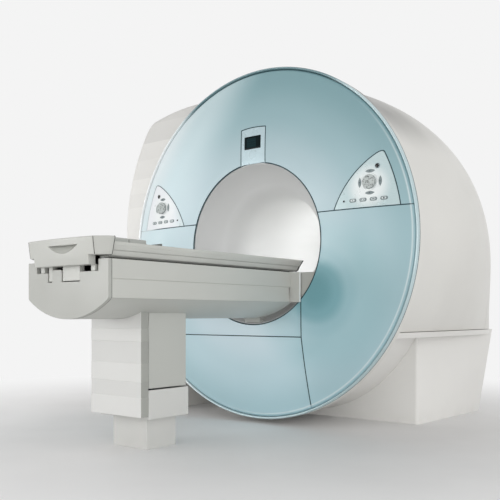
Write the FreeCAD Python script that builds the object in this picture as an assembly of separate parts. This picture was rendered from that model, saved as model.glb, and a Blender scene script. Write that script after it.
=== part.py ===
# Whole-body magnetic resonance scanner: a ring-shaped front cover on a rounded magnet housing,
# a patient tunnel with flared ends, and a lifting patient table with a sliding top.
# Millimetres. +Z is up, +Y runs along the tunnel from the table to the back, +X is the patient's
# side on the right of someone who faces the tunnel. The origin is on the floor, straight below the
# middle of the magnet.
import FreeCAD, Part
import os
from math import asin, cos, degrees, pi, radians, sin, sqrt

V = FreeCAD.Vector
up = V(0, 0, 1)
back = V(0, 1, 0)

# --- ring cover -------------------------------------------------------------------------------
axis_height = 1045.0        # tunnel axis above the floor
rim_y = -750.0              # plane of the ring's outer rim
cover_radius = 1004.0       # coloured ring cover
opening_radius = 470.0      # mouth of the ring
dome_rise = 42.0            # how far the mouth stands ahead of the rim
dome_mid_rise = 33.0        # the same, half way out
cover_wall = 12.0
cover_rim_depth = 50.0      # skirt of the ring cover behind the rim plane
rim_round = 18.0
lip_depth = 26.0            # turned-in lip round the mouth
trim_width = 15.0
trim_lead = 4.0             # the bright trim stands this far ahead of the rim plane
fit_gap = 0.5               # round parts that sit in each other
seam_gap = 4.0              # joints between the coloured covers
seam_high_z = axis_height + 145.0
seam_low_z = axis_height - 535.0
seam_side_x = 338.0
seam_side_foot_x = 390.0    # the side joint leans out to here at the floor
frame_plate_wall = 12.0
frame_plate_inner = 560.0
standoff_count = 8
standoff_radius = 16.0
standoff_circle = 690.0

# --- display and control panels -----------------------------------------------------------------
display_half_width = 88.0
display_top_z = axis_height + 677.0
display_arch = 6.0
screen_left, screen_right = -64.0, 56.0
screen_high_z = display_top_z - 50.0
screen_low_z = screen_high_z - 75.0
screen_recess = 4.0
screen_glass = 3.0
panel_gap = 2.0
flange_wall, flange_margin, flange_gap = 4.0, 9.0, 0.2
panel_inner_foot_x = 551.0
panel_inner_mid = (652.0, axis_height + 311.0)
panel_apex = (826.0, axis_height + 442.0)
panel_outer_radius = 936.0
panel_apex_round = 24.0
sensor_place = (798.0, axis_height + 357.0)
sensor_radius = 14.0
lamp_place = (612.0, axis_height + 187.0)
lamp_radius = 6.0
dial_place = (759.0, axis_height + 277.0)
dial_radius = 38.0
dial_height = 13.0
dial_shaft_radius = 8.0
dial_shaft_fit = 0.05
dial_seat_margin = 5.0
dial_dish_radius = 60.0
dial_notches = 20
dial_notch_radius = 2.6
lens_key_offset = 57.0      # dial centre to key centre
lens_key_length = 52.0
lens_key_width = 17.0
oval_key_count = 4
oval_key_first_x = 664.0
oval_key_pitch = 58.0
oval_key_z = axis_height + 187.0
oval_key_length = 40.0
oval_key_width = 18.0
key_gap = 0.6
key_proud = 2.5
key_depth = 16.0
key_travel = 1.5

# --- tunnel -------------------------------------------------------------------------------------
bore_radius = 300.0
liner_wall = 6.0
funnel_wall = 8.0
funnel_throat_y = -550.0
funnel_mid = (398.0, -658.0)
rear_throat_y = 480.0
rear_mouth_radius = 430.0
rear_mid = (348.0, 622.0)
deck_top_z = axis_height - 179.0
deck_wall = 8.0
deck_start_y = funnel_throat_y - 6.0   # the deck reaches a little into the front funnel
rail_x, rail_width, rail_height = 160.0, 24.0, 8.0

# --- magnet inside ------------------------------------------------------------------------------
body_coil_wall = 12.0
body_coil_half_length = 420.0
gradient_inner_radius = 332.0
gradient_outer_radius = 425.0
gradient_half_length = 520.0
cryostat_radius = 865.0
cryostat_half_length = 545.0
cryostat_wall = 10.0
cryostat_round = 130.0
helium_inner_radius = 480.0
helium_radius = 745.0
helium_half_length = 460.0
helium_round = 80.0
strut_count = 6
strut_radius = 18.0
foot_x, foot_width = 430.0, 170.0
foot_spans = ((-212.0, -52.0), (260.0, 430.0))
base_plate_height, base_plate_margin = 14.0, 6.0
tank_clearance = 12.0
cold_head_tilt = 50.0       # degrees from straight up, towards the left side cover
cold_head_y = -260.0
cold_head_radius = 78.0
cold_head_neck_radius = 52.0
cold_head_neck = 120.0
cold_head_length = 230.0
cold_head_hole_gap = 12.0

# --- housing ------------------------------------------------------------------------------------
housing_wall = 10.0
housing_seam_z = axis_height - 505.0
housing_seam_gap = 3.0
rear_joint_y = 500.0
# shape of the upper housing: place along Y, half width, height over the axis, half width at the
# seam
housing_shape = (
    (rim_y + cover_rim_depth + frame_plate_wall, 985.0, 985.0, 846.0),
    (-300.0, 1005.0, 1005.0, 869.0),
    (50.0, 1010.0, 1008.0, 876.0),
    (250.0, 987.0, 970.0, 880.0),
    (430.0, 940.0, 896.0, 882.0),
    (590.0, 885.0, 822.0, 873.0),
    (672.0, 842.0, 772.0, 838.0),
    (700.0, 806.0, 733.0, 802.0),
)
housing_sections = 16
side_fullness = 0.763       # how full the flank is half way between seam and axis height
foot_front_y = -230.0
foot_front_half = 766.0
foot_rear_y_low, foot_rear_half_low = 610.0, 805.0
foot_rear_y_high, foot_rear_half_high = 690.0, 868.0
centre_joint = 3.0
collar_rear_half, collar_rear_drop = 891.0, 1012.0
shelf_wall = 30.0
corner_round = 20.0
# left side cover: outline from the top of the barrel round the shoulder to the floor
shoulder_front_y, shoulder_rear_y = -684.0, 150.0
shoulder_wall = 10.0
shoulder_gap = 3.0
shoulder_start = (-430.0, axis_height + 941.0)
shoulder_top_mid = (-720.0, axis_height + 932.0)
shoulder_turn = (-950.0, axis_height + 887.0)
shoulder_turn_mid = (-992.0, axis_height + 860.0)
shoulder_flank = (-1022.0, axis_height + 817.0)
shoulder_flank_mid = (-1152.0, axis_height + 555.0)
shoulder_waist = (-1222.0, axis_height + 135.0)
shoulder_floor = (-1195.0, 0.0)

# --- patient table ------------------------------------------------------------------------------
top_low_z = deck_top_z + 11.0          # the tabletop runs this far over the deck in the tunnel
top_front_y = -2078.0
hull_half_width = 280.0
hull_front_y = top_front_y - 32.0
hull_rear_y = rim_y - 50.0
hull_top_z = top_low_z - 7.0
hull_groove_z = hull_top_z - 85.0
hull_side_low_z = hull_top_z - 167.0
hull_keel_z = hull_top_z - 256.0
hull_wall = 8.0
side_panel_wall = 9.0
groove_width, groove_depth = 4.0, 3.0
end_cap_wall = 18.0
rear_flange_half_width = 338.0
rear_flange_wall = 9.0
side_panel_step = 14.0      # the lower half of a side panel ends this much earlier
trough_half_width = 212.0
trough_floor_z = hull_top_z - 50.0
frame_bottom_z = trough_floor_z - 56.0
frame_wall = 12.0
tongue_gap = 4.0
tongue_low_z = trough_floor_z - 38.0
tongues = ((-130.0, -105.0), (-30.0, 88.0))
tab_top_z = trough_floor_z + 13.0

top_half_width = 262.0
top_edge_z = top_low_z + 68.0
top_dish_z = top_low_z + 50.0
top_step_z = top_low_z + 29.0
top_low_half_width = 232.0
top_rear_y_high = rim_y + 86.0
top_rear_y_low = rim_y + 2.0
top_travel = 1150.0
nose_half_width = 288.0
nose_low_half_width = 264.0
nose_side_y = top_front_y - 34.0
nose_front_y = top_front_y - 88.0
nose_top_z = top_low_z + 87.0
nose_shoulder_z = top_low_z + 9.0
nose_block_half_width = 190.0
nose_block_low_z = top_low_z - 31.0
nose_joint = 2.0
nose_round = 7.0
grip_half_length, grip_centre_x = 110.0, 12.0
grip_high_z = top_low_z + 61.0
grip_drop = 32.0
grip_depth = 34.0
pad_width = 26.0
block_half_width = 205.0
block_top_z = top_low_z + 93.0
block_one_y = (top_front_y + 8.0, top_front_y + 146.0)
block_two_y = (top_front_y + 152.0, top_front_y + 252.0)
wedge_rear_y = top_front_y + 352.0
wedge_height = 17.0
block_round = 5.0

# --- lift ---------------------------------------------------------------------------------------
lift_travel = 130.0
pedestal_front_y, pedestal_rear_y = -1778.0, -1512.0
plinth_half_width = 172.0
plinth_low_z, plinth_top_z = 150.0, 285.0
plinth_wall = 5.0
column_gap = 4.0
column_wall = 5.0
column_low_z = 292.0
skirt_half_width = 176.0
skirt_front_y, skirt_rear_y = -1832.0, -1782.0
skirt_low_z = 165.0
skirt_wall = 4.0
base_half_width = 118.0
base_margin_y = 38.0
base_plate = 12.0
base_wall = 8.0
anchor_radius = 7.0
anchor_spacing_x, anchor_spacing_y = 170.0, 120.0
cylinder_radius, ram_radius = 48.0, 30.0
ram_fit = 0.05
cylinder_top_z, cylinder_floor_z = 330.0, 40.0
ram_low_z = 205.0
ram_top_z = hull_side_low_z - 3.0
rest_gap = 0.3
# fixed guide behind the table's far end, which steadies it while it is lifted
guide_half_width, guide_wall = 55.0, 12.0
guide_low_z = hull_keel_z - 22.0
guide_top_z = hull_side_low_z + 9.0
guide_foot_depth, guide_foot_height = 46.0, 14.0

reach = 3000.0              # longer than anything that is cut

axis_foot = V(0, 0, axis_height)
frame_plate_y = rim_y + cover_rim_depth
housing_front_y = frame_plate_y + frame_plate_wall
pedestal_mid_y = (pedestal_front_y + pedestal_rear_y) / 2


def closed_wire(steps, place):
    # steps are points, or (through, end) pairs for arcs; place turns two numbers into a point
    first = place(*steps[0])
    here = first
    edges = []
    for step in steps[1:]:
        if isinstance(step[0], tuple):
            there = place(*step[1])
            edges.append(Part.Arc(here, place(*step[0]), there).toShape())
        else:
            there = place(*step)
            edges.append(Part.makeLine(here, there))
        here = there
    if here.distanceToPoint(first) > 1e-6:
        edges.append(Part.makeLine(here, first))
    return Part.Wire(edges)


def turned(steps):
    # a solid of revolution round the tunnel axis, from (radius, y) steps
    face = Part.Face(closed_wire(steps, lambda radius, y: V(radius, y, axis_height)))
    return face.revolve(axis_foot, back, 360)


def bar(steps, y_from, y_to):
    # a straight bar along Y, from (x, z) steps
    face = Part.Face(closed_wire(steps, lambda x, z: V(x, y_from, z)))
    return face.extrude(V(0, y_to - y_from, 0))


def block(x_from, x_to, y_from, y_to, z_from, z_to):
    return Part.makeBox(x_to - x_from, y_to - y_from, z_to - z_from, V(x_from, y_from, z_from))


def rod(radius, start, along, length):
    return Part.makeCylinder(radius, length, start, along)


def box_steps(x_from, x_to, z_from, z_to):
    return [(x_from, z_from), (x_to, z_from), (x_to, z_to), (x_from, z_to)]


def mirrored(shape):
    return shape.mirror(V(0, 0, 0), V(1, 0, 0))


def single(shape):
    # a boolean result that is one piece, as a plain solid
    shape = shape.removeSplitter()
    return shape.Solids[0] if len(shape.Solids) == 1 else shape


def edges_at(shape, test):
    return [edge for edge in shape.Edges if all(test(vertex.Point) for vertex in edge.Vertexes)]


# --- ring ----------------------------------------------------------------------------------------
def dome_steps(lead, wall):
    # profile of the ring cover, moved forward by lead
    mouth_y = rim_y - dome_rise - lead
    mid_radius = (opening_radius + cover_radius - rim_round) / 2
    mid_y = rim_y - dome_mid_rise - lead
    edge_y = rim_y - lead
    turn = rim_round * (1 - sqrt(0.5))
    inner = cover_radius - wall
    tail_y = rim_y + cover_rim_depth
    return [
        (opening_radius, mouth_y),
        ((mid_radius, mid_y), (cover_radius - rim_round, edge_y)),
        ((cover_radius - turn, edge_y + turn), (cover_radius, edge_y + rim_round)),
        (cover_radius, tail_y),
        (inner, tail_y),
        (inner, edge_y + rim_round + wall),
        (cover_radius - rim_round, edge_y + wall),
        ((mid_radius, mid_y + wall), (opening_radius + wall, mouth_y + wall)),
        (opening_radius + wall, mouth_y + lip_depth),
        (opening_radius, mouth_y + lip_depth),
    ]


def dome_face_y(x, z):
    # height of the dome under a point, from the circle through its three profile points
    mouth = (opening_radius, rim_y - dome_rise)
    middle = ((opening_radius + cover_radius - rim_round) / 2, rim_y - dome_mid_rise)
    edge = (cover_radius - rim_round, rim_y)
    circle = Part.Circle(*[V(radius, y, 0) for radius, y in (mouth, middle, edge)])
    radius = sqrt(x ** 2 + (z - axis_height) ** 2)
    return circle.Center.y - sqrt(circle.Radius ** 2 - (radius - circle.Center.x) ** 2)


def seam_side_at(z):
    # the side joint is upright above the low seam and leans out below it
    lean = (seam_side_foot_x - seam_side_x) / seam_low_z
    return seam_side_x + max(0.0, seam_low_z - z) * lean


def ring_region(name):
    half = seam_gap / 2
    low = -cover_radius
    above, below = seam_high_z + half, seam_high_z - half
    regions = {
        "upper": box_steps(-reach, reach, above, reach),
        "left": box_steps(-reach, seam_side_x - half, seam_low_z + half, below),
        "right": [(seam_side_x + half, below), (seam_side_x + half, seam_low_z),
                  (seam_side_at(low) + half, low), (reach, low), (reach, below)],
        "lower": [(seam_side_x - half, seam_low_z - half), (seam_side_at(low) - half, low),
                  (-reach, low), (-reach, seam_low_z - half)],
    }
    return bar(regions[name], rim_y - reach / 10, rim_y + reach / 10)


def panel_prism(inset):
    # the right control panel's outline as a bar along Y: a sail between two round sides
    low_z = seam_high_z + seam_gap / 2 - panel_gap
    apex_x, apex_z = panel_apex
    foot = V(panel_inner_foot_x, 0, low_z)
    side = Part.Circle(foot, V(panel_inner_mid[0], 0, panel_inner_mid[1]), V(apex_x, 0, apex_z))
    front, depth = rim_y - 2 * dome_rise, 4 * dome_rise
    inner_disc = rod(side.Radius - inset, V(side.Center.x, front, side.Center.z), back, depth)
    outer_disc = rod(panel_outer_radius - inset, V(0, front, axis_height), back, depth)
    above = block(0, reach, front, front + depth, low_z + inset, reach)
    prism = inner_disc.common(outer_disc).common(above)
    tip = [edge for edge in prism.Edges if abs(edge.Length - depth) < 1
           and edge.CenterOfMass.z > apex_z - panel_apex_round]
    return prism.makeFillet(panel_apex_round - inset, tip)


def with_flange(prism_of):
    # a face plate cut out of the dome, with a flange that rests behind the cover around it
    behind = cover_wall + flange_gap
    plate = turned(dome_steps(0, behind + flange_wall)).common(prism_of(-panel_gap))
    flange = turned(dome_steps(-behind, flange_wall)).common(prism_of(flange_margin))
    lip = rod(opening_radius + cover_wall + flange_gap, V(0, -reach, axis_height), back, 2 * reach)
    above = block(-reach, reach, -reach, reach, axis_height, reach)
    return plate.fuse(flange.cut(lip)).common(above)


def sail_prism(grow):
    return panel_prism(-grow)


def display_prism(grow):
    half = display_half_width + grow
    top = display_top_z + grow
    steps = [(-half, axis_height), (half, axis_height), (half, top - display_arch),
             ((0, top), (-half, top - display_arch))]
    return bar(steps, rim_y - 2 * dome_rise, rim_y + 2 * dome_rise)


def lens_outline(centre, length, width, upright, grow):
    # two arcs that meet in points, as on the keys round the dial
    x, z = centre
    long, short = length / 2 + grow * 1.5, width / 2 + grow
    if upright:
        return [(x, z - long), ((x + short, z), (x, z + long)), ((x - short, z), (x, z - long))]
    return [(x - long, z), ((x, z - short), (x + long, z)), ((x, z + short), (x - long, z))]


def oval_outline(centre, length, width, grow):
    x, z = centre
    round_radius = width / 2 + grow
    straight = length / 2 - width / 2
    return [(x - straight, z - round_radius), (x + straight, z - round_radius),
            ((x + straight + round_radius, z), (x + straight, z + round_radius)),
            (x - straight, z + round_radius),
            ((x - straight - round_radius, z), (x - straight, z - round_radius))]


def key_outlines(grow):
    # name and outline of every key on the right panel
    x, z = dial_place
    lens = {
        "up_key": ((x, z + lens_key_offset), False),
        "down_key": ((x, z - lens_key_offset), False),
        "in_key": ((x + lens_key_offset, z), True),
        "out_key": ((x - lens_key_offset, z), True),
    }
    outlines = {}
    for name, (centre, upright) in lens.items():
        outlines[name] = lens_outline(centre, lens_key_length, lens_key_width, upright, grow)
    for number in range(1, oval_key_count + 1):
        key_x = oval_key_first_x + (number - 1) * oval_key_pitch
        outlines[f"oval_key_{number}"] = oval_outline((key_x, oval_key_z), oval_key_length,
                                                      oval_key_width, grow)
    return outlines


def dial_seat_y():
    x, z = dial_place
    return dome_face_y(x - dial_radius * 0.9, z - dial_radius * 0.4) - 1.0


def make_control_panel():
    x, z = dial_place
    panel = with_flange(sail_prism)
    seat_y = dial_seat_y()
    seat_depth = dome_face_y(x, z) + cover_wall / 2 - seat_y
    panel = panel.fuse(rod(dial_radius + dial_seat_margin, V(x, seat_y, z), back, seat_depth))
    holes = [rod(dial_shaft_radius + dial_shaft_fit, V(x, seat_y - cover_wall, z), back,
                 5 * cover_wall)]
    front = rim_y - 2 * dome_rise
    for steps in key_outlines(key_gap).values():
        holes.append(bar(steps, front, rim_y + cover_wall * 2))
    for (px, pz), radius in ((sensor_place, sensor_radius), (lamp_place, lamp_radius)):
        holes.append(rod(radius + rest_gap, V(px, front, pz), back, 3 * dome_rise))
    return single(panel.cut(holes))


def make_keys():
    proud_shell = turned(dome_steps(key_proud, key_depth))
    front = rim_y - 2 * dome_rise
    keys = {}
    for name, steps in key_outlines(0).items():
        keys[name] = single(proud_shell.common(bar(steps, front, rim_y + cover_rim_depth)))
    return keys


def make_dial():
    x, z = dial_place
    seat_y = dial_seat_y()
    front_y = seat_y - rest_gap - dial_height
    dial = rod(dial_radius, V(x, front_y, z), back, dial_height)
    rim_edges = [edge for edge in dial.Edges
                 if edge.Closed and abs(edge.CenterOfMass.y - front_y) < 0.1]
    dial = dial.makeFillet(3.0, rim_edges)
    notches = []
    for step in range(dial_notches):
        turn = 2 * pi * step / dial_notches
        place = V(x + dial_radius * cos(turn), front_y - 1, z + dial_radius * sin(turn))
        notches.append(rod(dial_notch_radius, place, back, dial_height + 2))
    dish_centre = V(x, front_y - dial_dish_radius + 4.0, z)
    notches.append(Part.makeSphere(dial_dish_radius, dish_centre))
    shaft_length = dome_face_y(x, z) + 2 * cover_wall - seat_y
    shaft = rod(dial_shaft_radius, V(x, front_y + dial_height / 2, z), back,
                dial_height / 2 + shaft_length)
    return single(dial.cut(notches).fuse(shaft))


def make_ring_parts():
    shell = turned(dome_steps(0, cover_wall))
    parts = {}
    upper = shell.common(ring_region("upper"))
    cuts = [panel_prism(0), mirrored(panel_prism(0)), display_prism(0)]
    parts["upper_ring_cover"] = single(upper.cut(cuts))
    parts["left_ring_cover"] = single(shell.common(ring_region("left")))
    parts["right_ring_cover"] = single(shell.common(ring_region("right")))
    parts["lower_ring_panel"] = single(shell.common(ring_region("lower")))

    bezel = with_flange(display_prism)
    screen_mid = ((screen_left + screen_right) / 2, (screen_low_z + screen_high_z) / 2)
    glass_front = dome_face_y(*screen_mid) + 1.0
    recess = block(screen_left - rest_gap, screen_right + rest_gap,
                   rim_y - 2 * dome_rise, glass_front + screen_glass + rest_gap,
                   screen_low_z - rest_gap, screen_high_z + rest_gap)
    parts["display_bezel"] = single(bezel.cut(recess))
    parts["display_screen"] = block(screen_left, screen_right, glass_front,
                                    glass_front + screen_glass, screen_low_z, screen_high_z)

    panel = make_control_panel()
    keys = make_keys()
    dial = make_dial()
    for side, flip in (("right", False), ("left", True)):
        turn = mirrored if flip else (lambda shape: shape)
        parts[f"{side}_control_panel"] = turn(panel)
        parts[f"{side}_dial"] = turn(dial)
        for name, key in keys.items():
            parts[f"{side}_{name}"] = turn(key)
    small = []
    for (px, pz), radius in ((sensor_place, sensor_radius), (lamp_place, lamp_radius)):
        face_y = dome_face_y(px, pz)
        stud = rod(radius, V(px, face_y - 2.0, pz), back, cover_wall)
        small += [stud, mirrored(stud)]
    parts["panel_sensors"] = Part.makeCompound(small)

    inner, outer = cover_radius + fit_gap, cover_radius + fit_gap + trim_width
    front, rear = rim_y - trim_lead, frame_plate_y + frame_plate_wall
    soft = 5.0
    parts["ring_edge_trim"] = turned([
        (inner, front + soft), ((inner + trim_width / 2, front), (outer, front + 2 * soft)),
        (outer, rear), (inner, rear)])
    plate = turned([(frame_plate_inner, frame_plate_y), (cover_radius - 1, frame_plate_y),
                    (cover_radius - 1, housing_front_y), (frame_plate_inner, housing_front_y)])
    stubs = []
    for step in range(standoff_count):
        turn = 2 * pi * (step + 0.5) / standoff_count
        place = V(standoff_circle * cos(turn), housing_front_y,
                  axis_height + standoff_circle * sin(turn))
        stubs.append(rod(standoff_radius, place, back, -cryostat_half_length - housing_front_y))
    parts["cover_support_frame"] = single(plate.fuse(stubs))
    return parts


# --- tunnel --------------------------------------------------------------------------------------
def funnel_room():
    # the air inside the front funnel, kept clear of its skin
    mid_r, mid_y = funnel_mid
    mouth = opening_radius - rest_gap - funnel_wall - rest_gap
    return turned([(0, rim_y - dome_rise + 5.0), (mouth, rim_y - dome_rise + 5.0),
                   ((mid_r - rest_gap, mid_y), (bore_radius - rest_gap, funnel_throat_y)),
                   (0, funnel_throat_y)])


def make_tunnel_parts():
    parts = {}
    mouth = opening_radius - rest_gap
    mouth_y = rim_y - dome_rise + 5.0
    outer_bore = bore_radius + funnel_wall
    mid_r, mid_y = funnel_mid
    parts["front_funnel"] = turned([
        (mouth - funnel_wall, mouth_y), (funnel_mid, (bore_radius, funnel_throat_y)),
        (outer_bore, funnel_throat_y), ((mid_r + funnel_wall, mid_y), (mouth, mouth_y + funnel_wall)),
        (mouth, mouth_y)])
    outer = bore_radius + liner_wall
    parts["tunnel_liner"] = turned([(bore_radius, funnel_throat_y), (outer, funnel_throat_y),
                                    (outer, rear_throat_y), (bore_radius, rear_throat_y)])
    rear_y = housing_shape[-1][0]
    mid_r, mid_y = rear_mid
    parts["rear_funnel"] = turned([
        (bore_radius, rear_throat_y), (rear_mid, (rear_mouth_radius, rear_y)),
        (rear_mouth_radius + funnel_wall, rear_y),
        ((mid_r + funnel_wall, mid_y), (outer_bore, rear_throat_y))])

    # the deck fills the bottom of the tunnel and carries two rails
    drop = axis_height - deck_top_z
    radius = bore_radius - rest_gap
    half = sqrt(radius ** 2 - drop ** 2)
    outline = [(-half, deck_top_z), ((0, axis_height - radius), (half, deck_top_z))]
    deck = bar(outline, deck_start_y, rear_throat_y)
    hollow_radius = radius - deck_wall
    hollow_top = deck_top_z - deck_wall
    hollow_half = sqrt(hollow_radius ** 2 - (axis_height - hollow_top) ** 2)
    hollow = bar([(-hollow_half, hollow_top),
                  ((0, axis_height - hollow_radius), (hollow_half, hollow_top))],
                 deck_start_y - reach, rear_throat_y + deck_wall)
    rails = [block(side * rail_x - rail_width / 2, side * rail_x + rail_width / 2,
                   deck_start_y, rear_throat_y, deck_top_z, deck_top_z + rail_height)
             for side in (-1, 1)]
    parts["bore_rail_deck"] = single(deck.cut(hollow).fuse(rails))
    return parts


# --- magnet --------------------------------------------------------------------------------------
def hollow_drum(inner, outer, half_length, wall, corner):
    # a closed ring-shaped tank with rounded outer corners
    bend = corner * (1 - sqrt(0.5))
    front, rear = -half_length, half_length
    skin = turned([
        (inner, front), (outer - corner, front),
        ((outer - bend, front + bend), (outer, front + corner)), (outer, rear - corner),
        ((outer - bend, rear - bend), (outer - corner, rear)), (inner, rear)])
    room = turned([(inner + wall, front + wall), (outer - wall - corner, front + wall),
                   (outer - wall, front + wall + corner), (outer - wall, rear - wall - corner),
                   (outer - wall - corner, rear - wall), (inner + wall, rear - wall)])
    return skin.cut(room)


def foot_posts():
    posts = []
    for side in (-1, 1):
        for front_y, rear_y in foot_spans:
            x, wide = side * foot_x, foot_width / 2
            posts.append(block(x - wide, x + wide, front_y, rear_y, 0, axis_height / 2))
    return posts


def make_magnet_parts():
    parts = {}
    coil_inner = bore_radius + liner_wall + fit_gap
    coil_outer = coil_inner + body_coil_wall
    parts["body_coil"] = turned(
        [(coil_inner, -body_coil_half_length), (coil_outer, -body_coil_half_length),
         (coil_outer, body_coil_half_length), (coil_inner, body_coil_half_length)])
    parts["gradient_coil"] = turned(
        [(gradient_inner_radius, -gradient_half_length),
         (gradient_outer_radius, -gradient_half_length),
         (gradient_outer_radius, gradient_half_length),
         (gradient_inner_radius, gradient_half_length)])
    cryostat_inner = gradient_outer_radius + fit_gap
    parts["cryostat_vessel"] = hollow_drum(cryostat_inner, cryostat_radius, cryostat_half_length,
                                           cryostat_wall, cryostat_round)
    helium = hollow_drum(helium_inner_radius, helium_radius, helium_half_length, cryostat_wall,
                         helium_round)
    room_radius = cryostat_radius - cryostat_wall
    struts = []
    for end in (-1, 1):
        for step in range(strut_count):
            turn = 2 * pi * step / strut_count
            along = V(cos(turn), 0, sin(turn))
            place = V(0, end * helium_half_length * 0.7, axis_height)
            start = place + along * (helium_radius - 3.0)
            struts.append(rod(strut_radius, start, along, room_radius - helium_radius + 2.4))
    parts["helium_vessel"] = single(helium.fuse(struts))

    saddle = rod(cryostat_radius + rest_gap, V(0, -reach, axis_height), back, 2 * reach)
    wide = foot_x + foot_width / 2 + base_plate_margin
    floor_plate = block(-wide, wide, foot_spans[0][0] - base_plate_margin,
                        foot_spans[1][1] + base_plate_margin, 0, base_plate_height)
    parts["magnet_base"] = single(floor_plate.fuse(foot_posts()).cut(saddle))

    along = V(-sin(radians(cold_head_tilt)), 0, cos(radians(cold_head_tilt)))
    seat = V(0, cold_head_y, axis_height) + along * (cryostat_radius - 5.0)
    neck = rod(cold_head_neck_radius, seat, along, cold_head_neck)
    head = rod(cold_head_radius, seat + along * cold_head_neck, along, cold_head_length)
    head = head.makeFillet(12.0, [edge for edge in head.Edges if edge.Closed])
    tank = rod(cryostat_radius + rest_gap, V(0, -reach, axis_height), back, 2 * reach)
    parts["cold_head"] = single(neck.fuse(head).cut(tank))
    return parts


# --- housing -------------------------------------------------------------------------------------
def smooth_value(points, y):
    # height over Y of a smooth curve through points
    curve = Part.BSplineCurve()
    curve.interpolate([V(a, b, 0) for a, b in points])
    low, high = curve.FirstParameter, curve.LastParameter
    while high - low > 1e-9 * curve.LastParameter:
        middle = (low + high) / 2
        low, high = (middle, high) if curve.value(middle).x < y else (low, middle)
    return curve.value(low).y


def housing_solid(inset, low_z, rear_inset):
    # loft through sections of the housing, each a spline over the top from seam to seam
    wires = []
    drop = axis_height - low_z
    front_y, rear_y = housing_shape[0][0], housing_shape[-1][0]
    for number in range(housing_sections):
        # sections crowd towards the rounded rear
        share = sin(pi / 2 * number / (housing_sections - 1))
        y = front_y + (rear_y - front_y) * share
        width, height, seam_width = [
            smooth_value([(row[0], row[column]) for row in housing_shape], y) - inset
            for column in (1, 2, 3)]
        flank = seam_width + (width - seam_width) * side_fullness
        y -= rear_inset * (number == housing_sections - 1) + abs(inset) * (number == 0)
        right = [(seam_width, -drop), (flank, -drop / 2), (width, 0),
                 (width * sin(pi / 3), height * cos(pi / 3)),
                 (width * sin(pi / 6), height * cos(pi / 6))]
        points = right + [(0, height)] + [(-x, z) for x, z in reversed(right)]
        points = [V(x, y, axis_height + z) for x, z in points]
        over = Part.BSplineCurve()
        over.interpolate(points)
        wires.append(Part.Wire([over.toShape(), Part.makeLine(points[-1], points[0])]))
    return Part.makeLoft(wires, True, False)


def shoulder_bar(inset):
    steps = [shoulder_start, (shoulder_top_mid, shoulder_turn),
             (shoulder_turn_mid, shoulder_flank), (shoulder_flank_mid, shoulder_waist),
             shoulder_floor, (shoulder_start[0], shoulder_floor[1])]
    solid = bar(steps, shoulder_front_y, shoulder_rear_y)
    if not inset:
        return solid
    base = min(solid.Faces, key=lambda face: face.CenterOfMass.y)
    wire = base.OuterWire.makeOffset2D(-inset)
    inner = Part.Face(wire).extrude(V(0, shoulder_rear_y - shoulder_front_y - 2 * inset, 0))
    inner.translate(V(0, inset, 0))
    return inner


def foot_solid(inset):
    # the box under the seam: upright front corners, sides that spread towards the top and back
    def corner_wire(z, front_half, rear_half, rear_y):
        front_half, rear_half = front_half - inset, rear_half - inset
        front_y, rear_y = foot_front_y + inset, rear_y - inset
        return Part.makePolygon([V(-front_half, front_y, z), V(front_half, front_y, z),
                                 V(rear_half, rear_y, z), V(-rear_half, rear_y, z),
                                 V(-front_half, front_y, z)])
    top_z = housing_seam_z - housing_seam_gap / 2
    low = corner_wire(-inset, foot_front_half, foot_rear_half_low, foot_rear_y_low)
    high = corner_wire(top_z, foot_front_half, foot_rear_half_high, foot_rear_y_high)
    box = Part.makeLoft([low, high], True, True)
    if inset:
        return box
    corners = [edge for edge in box.Edges
               if abs(edge.Vertexes[0].Point.z - edge.Vertexes[-1].Point.z) > 1]
    return box.makeFillet(corner_round, corners)


def oval_wire(y, half_width, half_height):
    points = []
    for step in range(24):
        turn = 2 * pi * step / 24
        points.append(V(half_width * cos(turn), y, axis_height + half_height * sin(turn)))
    curve = Part.BSplineCurve()
    curve.interpolate(points, True)
    return Part.Wire([curve.toShape()])


def collar_solid(inset):
    # the barrel's lower front: round behind the ring, drawn in at the sides where it meets the foot
    front_radius = housing_shape[0][1] - inset
    barrel = Part.makeLoft([
        oval_wire(housing_front_y - inset, front_radius, front_radius),
        oval_wire(foot_front_y + housing_wall / 2 - inset, collar_rear_half - inset,
                  collar_rear_drop - inset)], True, True)
    top_z = housing_seam_z - housing_seam_gap / 2
    return barrel.common(block(-reach, reach, -reach, reach, -reach, top_z))


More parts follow.
